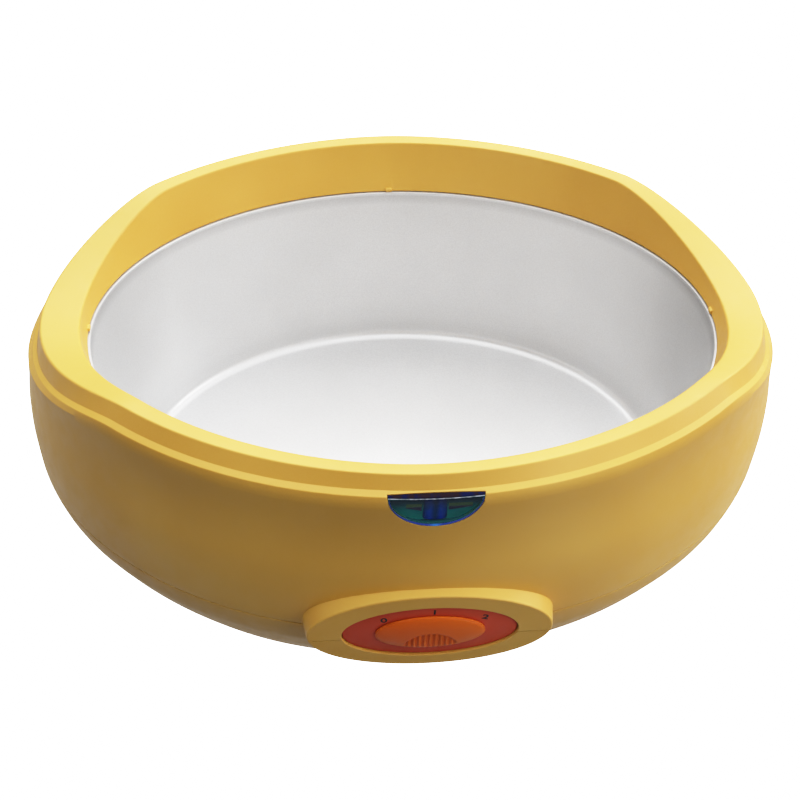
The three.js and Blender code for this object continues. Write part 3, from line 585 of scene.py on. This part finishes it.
def build_knob():
    """Domed elliptical knob: a square grid bent to a disc, raised towards the front."""
    nu, nv = 240, 130
    u, v = np.meshgrid(np.linspace(-1, 1, nu), np.linspace(-1, 1, nv), indexing="ij")
    disc_x = u * np.sqrt(1 - v * v / 2)
    disc_z = v * np.sqrt(1 - u * u / 2)
    rho = np.clip(np.hypot(disc_x, disc_z), 0, 1)
    x, z = disc_x * KNOB_HW, disc_z * KNOB_HH
    height = 0.75 + 1.76 * np.clip(1 - rho ** 2.6, 0, 1) ** 0.62
    # ribbed scoop for the thumb: an arch open towards the lower edge
    arch_hw, arch_height, arch_foot, rib_pitch = 11.8, 9.5, -8.4, 2.3
    arch = np.sqrt((x / arch_hw) ** 2 + (np.maximum(z - arch_foot, 0) / arch_height) ** 2)
    inside = 1 - smoothstep(0.88, 1.0, arch)
    scoop = 0.95 - 0.30 * np.clip((z - arch_foot) / arch_height, 0, 1)
    ribs = 0.85 * (0.5 + 0.5 * np.cos(2 * np.pi * x / rib_pitch)) ** 1.3
    ribs *= 1 - smoothstep(0.78, 0.97, arch)
    height = height * (1 - inside) + np.minimum(height, scoop + ribs) * inside
    # keep the outer rim
    rim = smoothstep(0.955, 0.985, rho)
    height = height * (1 - rim) + np.minimum(height, 0.9) * rim
    back_y = PLATE_Y - GAP
    front = np.stack([x, back_y - height, PANEL_Z + z], -1).reshape(-1, 3)
    faces = [(i * nv + j, (i + 1) * nv + j, (i + 1) * nv + j + 1, i * nv + j + 1)
             for i in range(nu - 1) for j in range(nv - 1)]
    # the grid's outline, repeated on the back
    outline = [(i, 0) for i in range(nu)]
    outline += [(nu - 1, j) for j in range(1, nv)]
    outline += [(i, nv - 1) for i in range(nu - 2, -1, -1)]
    outline += [(0, j) for j in range(nv - 2, 0, -1)]
    ids = [i * nv + j for i, j in outline]
    back = front[ids]
    back[:, 1] = back_y
    base, count = len(front), len(ids)
    for k in range(count):
        after = (k + 1) % count
        faces.append((ids[k], ids[after], base + after, base + k))
    faces.append(tuple(base + k for k in range(count)))
    knob = new_object("slide_knob", np.concatenate([front, back]), faces)
    boolean(knob, box_solid("stem", -STEM / 2, STEM / 2, PLATE_Y - GAP - 0.6, -134.9,
                            PANEL_Z - STEM / 2, PANEL_Z + STEM / 2), "UNION")
    face_outwards(knob)
    shade(knob, 40)
    register(knob, "slider_knob", group="slider")
    return knob


# ------------------------------------------------------------------ light guide in the window
def build_post():
    t = circle_angles(48)
    profile = ((6.75, 4.5), (8.0, 4.9), (12.0, 4.7), (15.0, 4.5), (18.0, 4.5))
    # height, half width
    post = stack_solid("window_post", [
        np.stack([half_width * np.cos(t), -133.0 + 0.85 * np.sin(t),
                  np.full(48, float(LIP_Z + height))], 1)
        for height, half_width in profile])
    register(post)
    return post


def build_reflector(number, side, x_end):
    """Wing that runs sideways from the post, thinning and rising outwards."""
    x_start = 5.3
    t = circle_angles(16)
    rings = []
    for x in np.linspace(x_start, x_end, 14) * side:
        along = (abs(x) - x_start) / (x_end - x_start)
        center_z = LIP_Z + 12.7 + 0.9 * along
        half_height = 2.0 * (1 - 0.45 * along)
        rings.append(np.stack([np.full(16, x), -132.8 + 0.35 * np.cos(t),
                               center_z + half_height * np.sin(t)], 1))
    ob = stack_solid("window_reflector_%d" % number, rings)
    register(ob)
    return ob


def build_backing():
    # teal sheet behind the window; its material paints a glow on it
    ob = rect_plug("window_backing", 18.6, 8.3, 4.0, [(-131.5, 0.3), (-131.3, 0), (-131.0, 0)],
                   LIP_Z + 12.5)
    register(ob)
    return ob


upper, lower, window = build_housing()
tub = build_tub()
plate = build_plate()
numerals = [build_numeral(*row) for row in NUMERALS]
knob = build_knob()
post = build_post()
reflectors = [build_reflector(1, -1, 11.4), build_reflector(2, 1, 14.6)]
backing = build_backing()


# ------------------------------------------------------------------ shader node helpers
class Nodes:
    """Builds the node tree of a material or world; values may be numbers or sockets."""

    def __init__(self, owner, output="ShaderNodeOutputMaterial"):
        owner.use_nodes = True
        self.owner = owner
        self.tree = owner.node_tree
        self.tree.nodes.clear()
        self.out = self.tree.nodes.new(output)
        self.coords = self.tree.nodes.new("ShaderNodeTexCoord").outputs

    def node(self, kind, inputs=None, **settings):
        node = self.tree.nodes.new(kind)
        for key, value in settings.items():
            setattr(node, key, value)
        for key, value in (inputs or {}).items():
            socket = node.inputs[key]
            if isinstance(value, bpy.types.NodeSocket):
                self.tree.links.new(value, socket)
            else:
                socket.default_value = (*value, 1) if socket.type == "RGBA" else value
        return node

    def mapping(self, scale=(1, 1, 1), rotation=(0, 0, 0), location=(0, 0, 0)):
        return self.node("ShaderNodeMapping", {
            "Vector": self.coords["Object"], "Scale": scale, "Rotation": rotation,
            "Location": location}).outputs["Vector"]

    def noise(self, scale, detail=3.0, roughness=0.5, vector=None):
        return self.node("ShaderNodeTexNoise", {
            "Vector": vector or self.coords["Object"], "Scale": scale, "Detail": detail,
            "Roughness": roughness}).outputs["Fac"]

    def ramp(self, fac, stops):
        """Colour ramp; stops are (position, linear RGB)."""
        node = self.node("ShaderNodeValToRGB", {"Fac": fac})
        elements = node.color_ramp.elements
        while len(elements) < len(stops):
            elements.new(0.5)
        for element, (position, color) in zip(elements, stops):
            element.position = position
            element.color = (*color, 1)
        return node.outputs["Color"]

    def gray_ramp(self, fac, stops):
        return self.ramp(fac, [(position, (level,) * 3) for position, level in stops])

    def remap(self, value, span, to=(0.0, 1.0)):
        return self.node("ShaderNodeMapRange", {
            "Value": value, "From Min": span[0], "From Max": span[1],
            "To Min": to[0], "To Max": to[1]}).outputs["Result"]

    def remap_mm(self, value, span, to=(0.0, 1.0)):
        return self.remap(value, (span[0] * MM, span[1] * MM), to)

    def math(self, operation, *values):
        return self.node("ShaderNodeMath", dict(enumerate(values)),
                         operation=operation).outputs[0]

    def times(self, a, b):
        return self.math("MULTIPLY", a, b)

    def either(self, a, b):
        return self.math("MAXIMUM", a, b)

    def mix(self, fac, a, b):
        return self.node("ShaderNodeMix", {0: fac, 6: a, 7: b}, data_type="RGBA").outputs[2]

    def bump(self, height, strength, distance, normal=None):
        inputs = {"Height": height, "Strength": strength, "Distance": distance}
        if normal is not None:
            inputs["Normal"] = normal
        return self.node("ShaderNodeBump", inputs).outputs["Normal"]

    def bevel(self, radius, samples=4):
        return self.node("ShaderNodeBevel", {"Radius": radius}, samples=samples).outputs["Normal"]

    def split(self, vector):
        return self.node("ShaderNodeSeparateXYZ", {0: vector}).outputs

    def xyz(self):
        return self.split(self.coords["Object"])

    def principled(self, **inputs):
        return self.node("ShaderNodeBsdfPrincipled",
                         {key.replace("_", " "): value for key, value in inputs.items()}).outputs[0]

    def finish(self, shader):
        self.tree.links.new(shader, self.out.inputs["Surface"])
        return self.owner


def new_material(name):
    return Nodes(bpy.data.materials.new(name))


def srgb(*channels):
    """Linear colour from sRGB channels, 0 to 255."""
    def linear(c):
        c /= 255.0
        return c / 12.92 if c <= 0.04045 else ((c + 0.055) / 1.055) ** 2.4
    return tuple(linear(c) for c in channels)


# ------------------------------------------------------------------ materials
def plastic(name, base, dark, light, roughness, grain=1.0, subsurface=0.08, wavy=False,
            painted_sheen=None):
    """Moulded plastic in sRGB tones; the last argument, if given, is the colour of a painted sheen:
    a paler tint on the surfaces that face up.
    """
    m = new_material(name)
    base, dark, light = srgb(*base), srgb(*dark), srgb(*light)
    patches = m.noise(scale=9.0, detail=2.0)
    color = m.ramp(patches, [(0.30, dark), (0.55, base), (0.80, light)])
    streaks = m.noise(scale=30.0, detail=2.0, vector=m.mapping(scale=(1.0, 1.0, 0.06)))
    color = m.mix(m.remap(streaks, (0.35, 0.7), to=(0.0, 0.16)), color, dark)
    specks = m.noise(scale=1400.0, detail=2.0, roughness=0.6)
    color = m.mix(m.remap(specks, (0.35, 0.75), to=(0.0, 0.10)), color, light)
    geometry = m.node("ShaderNodeNewGeometry").outputs
    wear = m.remap(geometry["Pointiness"], (0.515, 0.56), to=(0.0, 0.25))
    color = m.mix(wear, color, light)
    if painted_sheen is not None:
        # painted sheen: surfaces that face up are tinted paler, standing in for the light from
        # above
        painted_sheen_mask = m.remap(m.split(geometry["Normal"])[2], (0.68, 0.97), to=(0.0, 0.45))
        color = m.mix(painted_sheen_mask, color, srgb(*painted_sheen))
    uneven = m.remap(m.noise(scale=140.0, roughness=0.6), (0.3, 0.75),
                     to=(roughness - 0.05, roughness + 0.07))
    normal = m.bevel(radius=0.35 * MM)
    normal = m.bump(m.noise(scale=2600.0, detail=2.0, roughness=0.6), strength=0.10 * grain,
                    distance=0.05 * MM, normal=normal)
    waves = m.noise(scale=26.0, detail=1.0, roughness=0.4,
                    vector=m.mapping(scale=(1.0, 1.0, 0.25)))
    normal = m.bump(waves, strength=0.10 if wavy else 0.03, distance=0.6 * MM, normal=normal)
    return m.finish(m.principled(
        Base_Color=color, Roughness=uneven, Normal=normal, Subsurface_Weight=subsurface,
        Subsurface_Radius=(1.0, 0.6, 0.25), Subsurface_Scale=0.002, IOR=1.46,
        Coat_Roughness=0.25))


def metal(name, base, roughness, tone=0.08):
    """Plain metal in a linear colour; tone is how far it varies."""
    m = new_material(name)
    grain = m.noise(scale=900.0, roughness=0.6, vector=m.mapping())
    patches = m.noise(scale=14.0)
    low = tuple(c * (1 - tone * 1.6) for c in base)
    high = tuple(min(1, c * (1 + tone)) for c in base)
    color = m.ramp(patches, [(0.3, low), (0.7, high)])
    color = m.mix(m.remap(grain, (0.3, 0.75), to=(0.0, 0.35)), color, low)
    uneven = m.remap(grain, (0.3, 0.7), to=(roughness - 0.06, roughness + 0.08))
    normal = m.bump(grain, strength=0.06, distance=0.05 * MM, normal=m.bevel(radius=0.2 * MM))
    return m.finish(m.principled(Base_Color=color, Roughness=uneven, Normal=normal,
                                 Metallic=1.0))


def tub_metal():
    m = new_material("tub_satin_aluminium")
    fine = m.noise(scale=1500.0, detail=2.0, roughness=0.65)
    drawn = m.noise(scale=420.0, roughness=0.6, vector=m.mapping(scale=(1.0, 1.0, 0.05)))
    patches = m.noise(scale=10.0, roughness=0.55)
    color = m.ramp(patches, [(0.3, srgb(220, 221, 222)), (0.7, srgb(234, 235, 236))])
    color = m.mix(m.remap(fine, (0.35, 0.7), to=(0.0, 0.30)), color, srgb(196, 194, 196))
    # a few faint specks
    cells = m.node("ShaderNodeTexVoronoi", {"Vector": m.mapping(), "Scale": 55.0,
                                            "Randomness": 1.0}, feature="F1")
    specks = m.remap(cells.outputs["Distance"], (0.018, 0.040), to=(1.0, 0.0))
    where = m.remap(m.noise(scale=23.0, detail=1.0), (0.62, 0.66), to=(0.0, 0.55))
    color = m.mix(m.times(specks, where), color, srgb(120, 118, 122))
    # rub marks
    bands = m.node("ShaderNodeTexWave", {
        "Vector": m.mapping(rotation=(0.3, 0.8, 0.4)), "Scale": 38.0, "Distortion": 2.0,
        "Detail": 3.0}, wave_type="BANDS", bands_direction="DIAGONAL")
    where = m.remap(m.noise(scale=17.0, detail=2.0, vector=m.mapping(location=(3, 1, 2))),
                    (0.60, 0.68))
    rubs = m.times(where, m.remap(bands.outputs["Fac"], (0.992, 1.0), to=(0.0, 0.07)))
    color = m.mix(rubs, color, srgb(170, 168, 172))
    # painted light up the wall: a painted highlight line at the floor edge, and painted shade in a
    # darker band above it
    x, _, z = m.xyz()
    painted_wall_light = m.gray_ramp(m.remap_mm(z, (LIP_Z - 90.0, LIP_Z - 60.0)), [
        (0.0, 0.5), (0.006, 0.5), (0.018, 0.74), (0.05, 0.70), (0.085, 0.50), (0.125, 0.36),
        (0.27, 0.36), (0.45, 0.44), (0.8, 0.5)])
    amount = m.remap(painted_wall_light, (0.0, 1.0), to=(0.62, 1.38))
    # painted reflection: the right end darker, a little lighter before it, standing in for the dark
    # surroundings it reflects
    ends = m.gray_ramp(m.remap_mm(x, (0.0, 150.0)), [
        (0.0, 0.5), (0.3, 0.5), (0.6, 0.57), (0.80, 0.56), (0.89, 0.47), (1.0, 0.20)])
    ends = m.remap(ends, (0.0, 1.0), to=(0.5, 1.5))
    # painted reflection at the left end: darker towards it
    painted_left_reflection = m.remap_mm(x, (-150.0, -118.0), to=(0.78, 1.0))
    # a shaded line under the lip
    lip = m.gray_ramp(m.remap_mm(z, (LIP_Z - 7.0, LIP_Z)), [
        (0.0, 1.0), (0.45, 0.86), (0.72, 0.80), (0.86, 0.97), (1.0, 1.0)])
    amount = m.times(amount, lip)
    # the middle of the floor a little darker
    middle = m.gray_ramp(m.remap_mm(x, (-110.0, 110.0)), [
        (0.0, 0.0), (0.35, 0.07), (0.62, 0.07), (0.9, 0.0)])
    middle = m.times(middle, m.remap_mm(z, (LIP_Z - 89.5, LIP_Z - 88.5), to=(1.0, 0.0)))
    amount = m.times(amount, m.math("SUBTRACT", 1.0, middle))
    # the painted end reflections fade out towards the floor
    above = m.remap_mm(z, (LIP_Z - 82.0, LIP_Z - 55.0))
    change = m.math("SUBTRACT", m.times(ends, painted_left_reflection), 1.0)
    ends = m.math("ADD", m.times(change, above), 1.0)
    color = m.node("ShaderNodeVectorMath", {0: color, "Scale": m.times(amount, ends)},
                   operation="SCALE").outputs[0]
    normal = m.bump(fine, strength=0.16, distance=0.05 * MM, normal=m.bevel(radius=0.25 * MM))
    normal = m.bump(drawn, strength=0.05, distance=0.1 * MM, normal=normal)
    return m.finish(m.principled(
        Base_Color=color, Roughness=m.remap(fine, (0.3, 0.7), to=(0.34, 0.46)),
        Metallic=0.45, Normal=normal))


def window_tinted():
    m = new_material("window_tinted")
    x, y, z = m.xyz()
    # place within the outline: across and down, 1 at its edge
    across = m.math("DIVIDE", x, WINDOW_HW * MM)
    down = m.math("DIVIDE", m.math("SUBTRACT", (LIP_Z + WINDOW_TOP) * MM, z),
                  (WINDOW_TOP - WINDOW_BOTTOM) * MM)
    down = m.math("POWER", m.either(down, 0.0), 1.0 / WINDOW_POWER)
    radial = m.math("SQRT", m.math("ADD", m.times(across, across), m.times(down, down)))
    # distance in from the outline, in units of an outline width that grows downwards
    width = m.math("ADD", m.times(m.math("POWER", down, 1.6), 0.066), 0.028)
    inward = m.math("DIVIDE", m.math("SUBTRACT", 1.0, radial), width)
    face_span = (-135.0, -134.7)             # y where the front face gives way to the sides
    edge = m.times(m.remap(inward, (0.75, 1.25), to=(1.0, 0.0)),
                   m.remap_mm(y, face_span, to=(1.0, 0.0)))
    # painted glow: the cut sides and the hollow's floor carry a faint teal light, standing in for
    # the backing's light
    side = m.times(m.remap(inward, (0.15, 0.35), to=(1.0, 0.0)), m.remap_mm(y, face_span))
    painted_inner_glow = m.either(side, m.remap_mm(y, (-134.15, -134.05)))
    low = m.remap(down, (0.35, 1.0))
    # painted highlight spot at the bottom middle of the glowing outline
    painted_glow_spot = m.times(m.remap_mm(m.math("ABSOLUTE", x), (0.5, 2.6), to=(1.0, 0.0)), low)
    # dark band along the top, with a painted highlight under it: a bright speckled line
    band_z = LIP_Z + 20.6
    band = m.remap_mm(z, (band_z - 0.35, band_z - 0.2))
    painted_highlight_line = m.times(m.remap_mm(z, (band_z - 0.78, band_z - 0.62)),
                   m.remap_mm(z, (band_z - 0.4, band_z - 0.25), to=(1.0, 0.0)))
    speckle = m.noise(scale=700.0, detail=2.0, roughness=0.6)
    painted_highlight_line = m.times(painted_highlight_line, m.remap(speckle, (0.38, 0.62), to=(0.62, 1.0)))
    swirl = m.noise(scale=160.0, detail=2.0)
    tint = m.ramp(swirl, [(0.35, srgb(12, 48, 66)), (0.65, srgb(16, 66, 76))])
    # painted shade: the inside darkens towards the top
    painted_top_shade = m.remap_mm(z, (LIP_Z + 14.5, LIP_Z + 19.3))
    tint = m.mix(painted_top_shade, tint, srgb(16, 24, 44))
    # painted glow: the outline is tinted bright blue
    tint = m.mix(edge, tint, m.mix(low, srgb(12, 34, 104), srgb(8, 50, 150)))
    blotches = m.noise(scale=190.0, roughness=0.6, vector=m.mapping(scale=(1.0, 0.3, 0.3)))
    band_color = m.ramp(blotches, [(0.40, srgb(46, 32, 40)), (0.58, srgb(20, 28, 74))])
    tint = m.mix(band, tint, band_color)
    tint = m.mix(painted_highlight_line, tint, srgb(218, 222, 234))
    # painted glow: emission colour of the outline, brighter low down and at the bottom middle
    glow = m.mix(low, srgb(8, 32, 92), srgb(6, 54, 158))
    glow = m.mix(painted_glow_spot, glow, srgb(36, 150, 245))
    ripple = m.bump(m.noise(scale=900.0, detail=2.0), strength=0.03, distance=0.05 * MM,
                    normal=m.bevel(radius=0.3 * MM, samples=6))
    body = m.principled(
        Base_Color=tint, IOR=1.5, Normal=ripple,
        Roughness=m.remap(band, (0.0, 1.0), to=(0.10, 0.55)),
        Specular_IOR_Level=m.remap(band, (0.0, 1.0), to=(0.45, 0.10)),
        Emission_Color=m.mix(edge, m.mix(painted_inner_glow, (0, 0, 0), (0.05, 0.22, 0.19)), glow),
        Emission_Strength=m.times(m.math("SUBTRACT", 1.0, band), 0.5))
    clear = m.node("ShaderNodeBsdfTransparent", {"Color": (0.62, 0.84, 0.92)}).outputs[0]
    top_cover = m.either(m.either(band, painted_highlight_line), m.remap(painted_top_shade, (0.0, 1.0), to=(0.22, 0.62)))
    cover = m.either(m.times(m.either(edge, painted_inner_glow), 0.92), top_cover)
    return m.finish(m.node("ShaderNodeMixShader", {0: cover, 1: clear, 2: body}).outputs[0])


def painted_glow_plastic(name, stops, noise_scale, strength, fade, axis=2, span=(LIP_Z + 4.0, LIP_Z + 18.0)):
    """Light-guide plastic with a painted glow, standing in for the light that comes in through the
    window. Stops run over the span (mm) of an axis, X counted outwards from the middle; fade scales
    the painted glow from bottom to top."""
    m = new_material(name)
    noise = m.noise(scale=noise_scale, roughness=0.6)
    place = m.xyz()
    along = m.math("ABSOLUTE", place[0]) if axis == 0 else place[axis]
    along = m.math("ADD", m.remap_mm(along, span), m.remap(noise, (0.3, 0.7), to=(-0.06, 0.06)))
    color = m.mix(m.remap(noise, (0.3, 0.7), to=(0.0, 0.25)), m.ramp(along, stops),
                  (0.01, 0.03, 0.05))
    # painted glow, scaled from bottom to top by fade
    light = m.remap_mm(place[2], (LIP_Z + 4.0, LIP_Z + 18.0), to=fade)
    return m.finish(m.principled(
        Base_Color=color, Roughness=m.remap(noise, (0.3, 0.7), to=(0.25, 0.4)),
        Normal=m.bump(m.noise(scale=noise_scale * 6), strength=0.1, distance=0.05 * MM),
        Emission_Color=color, Emission_Strength=m.times(light, strength)))


mat_top = plastic("housing_plastic", (226, 180, 88), (214, 166, 74), (236, 196, 110),
                  roughness=0.44, wavy=True, painted_sheen=(238, 204, 108))
mat_bottom = plastic("housing_plastic_lower", (222, 176, 86), (210, 162, 74), (232, 192, 106),
                     roughness=0.46, wavy=True)
mat_plate = plastic("panel_plastic", (212, 82, 50), (196, 70, 43), (224, 98, 64), roughness=0.5)
mat_knob = plastic("knob_plastic", (232, 114, 20), (216, 96, 14), (242, 136, 40),
                   roughness=0.46, subsurface=0.15)
mat_numeral = plastic("print_black", (32, 22, 20), (22, 16, 14), (48, 34, 30),
                      roughness=0.6, subsurface=0.0)
mat_tub = tub_metal()
mat_window = window_tinted()
# painted glow: the post, the reflectors and the backing in the window glow a little
mat_post = painted_glow_plastic("window_post_blue", [
    (0.0, (0.012, 0.03, 0.14)), (0.14, (0.012, 0.035, 0.22)), (0.42, (0.015, 0.07, 0.55)),
    (0.72, (0.012, 0.05, 0.34)), (1.0, (0.008, 0.02, 0.07))],
    noise_scale=260.0, strength=0.36, fade=(0.9, 1.0), axis=0, span=(0.0, 4.9))
mat_reflector = painted_glow_plastic("window_reflector_olive", [
    (0.0, (0.07, 0.02, 0.05)), (0.50, (0.12, 0.03, 0.05)), (0.68, (0.25, 0.18, 0.05)),
    (1.0, (0.30, 0.25, 0.06))],
    noise_scale=300.0, strength=0.65, fade=(1.0, 1.0), span=(LIP_Z + 11.4, LIP_Z + 14.6))
mat_backing = painted_glow_plastic("window_backing_teal", [
    (0.0, (0.04, 0.27, 0.20)), (0.5, (0.04, 0.25, 0.20)), (0.85, (0.03, 0.10, 0.13)),
    (1.0, (0.02, 0.06, 0.10))],
    noise_scale=180.0, strength=0.75, fade=(1.0, 0.35))

CAD_PLASTICS = {
    # CAD piece: material, base, dark and light sRGB, roughness, grain, subsurface
    "tub_gasket": ("silicone_grey", (84, 84, 80), (70, 70, 66), (104, 104, 98), 0.75, 1.0, 0.0),
    "slider_carriage": ("acetal_black", (46, 46, 48), (36, 36, 38), (62, 62, 64), 0.5, 1.0, 0.0),
    "thermostat_body": ("phenolic_brown", (128, 84, 52), (104, 66, 40), (150, 104, 68),
                        0.6, 1.0, 0.0),
    "thermostat_lever": ("nylon_white", (228, 222, 206), (212, 204, 186), (240, 236, 224),
                         0.5, 1.0, 0.08),
    "foot_1": ("foot_rubber", (44, 44, 44), (34, 34, 34), (64, 64, 62), 0.82, 3.0, 0.0),
    "insulation_pad": ("felt_cream", (226, 220, 204), (206, 200, 182), (240, 236, 224),
                       0.95, 6.0, 0.0),
    "terminal_block": ("terminal_white", (232, 230, 222), (216, 214, 204), (244, 242, 236),
                       0.5, 1.0, 0.08),
    "lead_right": ("lead_brown", (58, 46, 42), (44, 34, 32), (78, 64, 58), 0.6, 1.0, 0.0),
    "lead_left": ("lead_grey", (190, 190, 186), (172, 172, 168), (210, 210, 206),
                  0.6, 1.0, 0.0),
    "lead_earth": ("lead_green", (96, 140, 62), (78, 118, 48), (196, 190, 70), 0.6, 1.0, 0.0),
    "thermal_fuse": ("ceramic_glaze", (206, 200, 186), (190, 182, 166), (224, 220, 208),
                     0.3, 1.0, 0.08),
    "indicator_lamp": ("lamp_glass", (214, 222, 226), (196, 206, 212), (232, 238, 240),
                       0.1, 1.0, 0.0),
}
by_name = {piece: plastic(*row) for piece, row in CAD_PLASTICS.items()}
steel = metal("plated_steel", (0.60, 0.61, 0.62), roughness=0.34)
brass = metal("brass_turned", (0.78, 0.62, 0.32), roughness=0.3)
by_name["heating_element"] = metal("element_sheath", (0.38, 0.35, 0.33), roughness=0.46,
                                   tone=0.2)
by_name["heat_shield"] = metal("bright_sheet", (0.80, 0.81, 0.82), roughness=0.28)
for piece in ("slider_guide", "lamp_holder", "power_inlet"):
    by_name[piece] = by_name["slider_carriage"]
BY_PREFIX = (
    (("foot_",), by_name["foot_1"]),
    (("tub_clip", "heater_strap", "thermostat_bracket", "fuse_clip", "clip_screw",
      "housing_screw", "strap_nut"), steel),
    (("inlet_pin", "thermostat_shaft"), brass),
)


def cad_material(name):
    if name in by_name:
        return by_name[name]
    for prefixes, material in BY_PREFIX:
        if name.startswith(prefixes):
            return material
    return mat_top


def set_material(ob, material):
    ob.data.materials.clear()
    ob.data.materials.append(material)


for name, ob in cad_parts.items():
    set_material(ob, cad_material(name))
    for polygon in ob.data.polygons:
        polygon.material_index = 0
for ob, material in ((upper, mat_top), (lower, mat_bottom), (tub, mat_tub), (plate, mat_plate),
                     (knob, mat_knob), (window, mat_window), (post, mat_post)):
    set_material(ob, material)
for ob in reflectors:
    ob.data.materials.append(mat_reflector)
backing.data.materials.append(mat_backing)
for ob in numerals:
    set_material(ob, mat_numeral)


# ------------------------------------------------------------------ floor and world
def floor_material():
    """Glows to the camera and in reflections, and is a dark diffuse floor to other rays."""
    seen, mirrored = 4.0, 0.85       # glow to the camera and in reflections
    glow_share, bounce = 0.85, 0.10  # glow against paint, grey level for other rays
    m = new_material("floor_pale")
    paint = m.principled(Base_Color=m.ramp(m.noise(scale=3.0), [(0.3, (0.90, 0.90, 0.90)),
                                                                (0.7, (0.93, 0.93, 0.93))]),
                         Roughness=0.9)
    rays = m.node("ShaderNodeLightPath").outputs
    strength = m.remap(rays["Is Camera Ray"], (0.0, 1.0), to=(mirrored, seen))
    glow = m.node("ShaderNodeEmission", {0: (1, 1, 1), 1: strength}).outputs[0]
    dim = m.node("ShaderNodeBsdfDiffuse", {0: (bounce,) * 3}).outputs[0]
    visible = m.node("ShaderNodeMixShader", {0: glow_share, 1: paint, 2: glow}).outputs[0]
    looked_at = m.either(rays["Is Camera Ray"], rays["Is Glossy Ray"])
    return m.finish(m.node("ShaderNodeMixShader", {0: looked_at, 1: dim, 2: visible}).outputs[0])


def build_floor():
    bm = bmesh.new()
    bmesh.ops.create_grid(bm, x_segments=2, y_segments=2, size=6.0)
    me = bpy.data.meshes.new("floor")
    bm.to_mesh(me)
    bm.free()
    floor = link("floor", me)
    floor.location = (0, 0, -0.3 * MM)
    floor.data.materials.append(floor_material())


def build_world():
    """Pale when looked at, dim as a light."""
    world = bpy.data.worlds.new("studio")
    bpy.context.scene.world = world
    w = Nodes(world, "ShaderNodeOutputWorld")
    color = w.ramp(w.split(w.coords["Generated"])[2], [(0.0, (0.8, 0.8, 0.8)),
                                                       (0.8, (1.0, 1.0, 1.0))])
    rays = w.node("ShaderNodeLightPath").outputs
    strength = w.remap(rays["Is Camera Ray"], (0.0, 1.0), to=(0.16, 4.0))
    w.finish(w.node("ShaderNodeBackground", {0: color, 1: strength}).outputs[0])


# ------------------------------------------------------------------ lights and camera, metres
LIGHTS = [
    # name, place, height aimed at above the origin, size, watts
    ("top", (0.0, 0.0, 1.6), 0.08, (1.8, 1.8), 19.4),
    ("top_back", (0.0, 1.0, 1.3), 0.08, (1.6, 1.0), 17.6),
    ("right", (1.5, 0.0, 0.9), 0.07, (1.0, 1.0), 18.0),
    ("left", (-1.5, 0.0, 0.9), 0.07, (1.0, 1.0), 2.9),
    ("front_high", (0.0, -1.2, 1.4), 0.07, (1.4, 0.9), 0.6),
    ("front_right", (1.1, -1.1, 0.8), 0.07, (0.8, 0.8), 6.6),
    ("right_back", (1.1, 1.1, 0.9), 0.07, (0.9, 0.9), 7.8),
]


def build_light(name, place, aim_z, size, watts):
    light = bpy.data.lights.new(name, "AREA")
    light.shape = "RECTANGLE"
    light.size, light.size_y = size
    light.energy = watts
    ob = link(name, light)
    ob.location = place
    ob.rotation_mode = "QUATERNION"
    ob.rotation_quaternion = (Vector((0, 0, aim_z)) - Vector(place)).to_track_quat("-Z", "Y")


def build_camera():
    """Camera in front of and above the lip's middle, turned slightly about Z and rolled."""
    elevation, turn, roll = math.radians(41.99), math.radians(5.92), math.radians(-2.05)
    shift_right, shift_up, distance = 2.83, 37.90, 555.09     # of the lip's middle, mm
    c, s = math.cos(turn), math.sin(turn)
    level_right = Vector((c, -s, 0))
    forward = Vector((s * math.cos(elevation), c * math.cos(elevation), -math.sin(elevation)))
    level_up = Vector((s * math.sin(elevation), c * math.sin(elevation), math.cos(elevation)))
    right = math.cos(roll) * level_right - math.sin(roll) * level_up
    up = math.sin(roll) * level_right + math.cos(roll) * level_up
    place = -shift_right * right - shift_up * up - distance * forward + Vector((0, 0, LIP_Z))
    data = bpy.data.cameras.new("camera")
    data.sensor_width = 36.0
    data.lens = 52.0281
    data.clip_start, data.clip_end = 0.01, 50.0
    camera = link("camera", data)
    rotation = Matrix((right, up, -forward)).transposed()
    camera.matrix_world = Matrix.Translation(place * MM) @ rotation.to_4x4()
    bpy.context.scene.camera = camera


TONE_WHITE = 2.0
TONE_CURVE = [                   # (scene value, shown value): soft toe and shoulder
    (0.0, 0.0), (0.04, 0.024), (0.1, 0.072), (0.173, 0.141), (0.28, 0.255), (0.45, 0.445),
    (0.645, 0.62), (0.85, 0.755), (1.3, 0.90), (2.0, 1.0)]


def set_tone():
    view = bpy.context.scene.view_settings
    view.view_transform = "Standard"
    view.look = "None"
    view.use_curve_mapping = True
    mapping = view.curve_mapping
    mapping.white_level = (TONE_WHITE,) * 3
    mapping.extend = "HORIZONTAL"
    points = mapping.curves[3].points
    while len(points) < len(TONE_CURVE):
        points.new(0.5, 0.5)
    for point, (scene_value, shown) in zip(points, TONE_CURVE):
        point.location = (scene_value / TONE_WHITE, shown)
    mapping.update()


build_floor()
build_world()
for row in LIGHTS:
    build_light(*row)
build_camera()
set_tone()
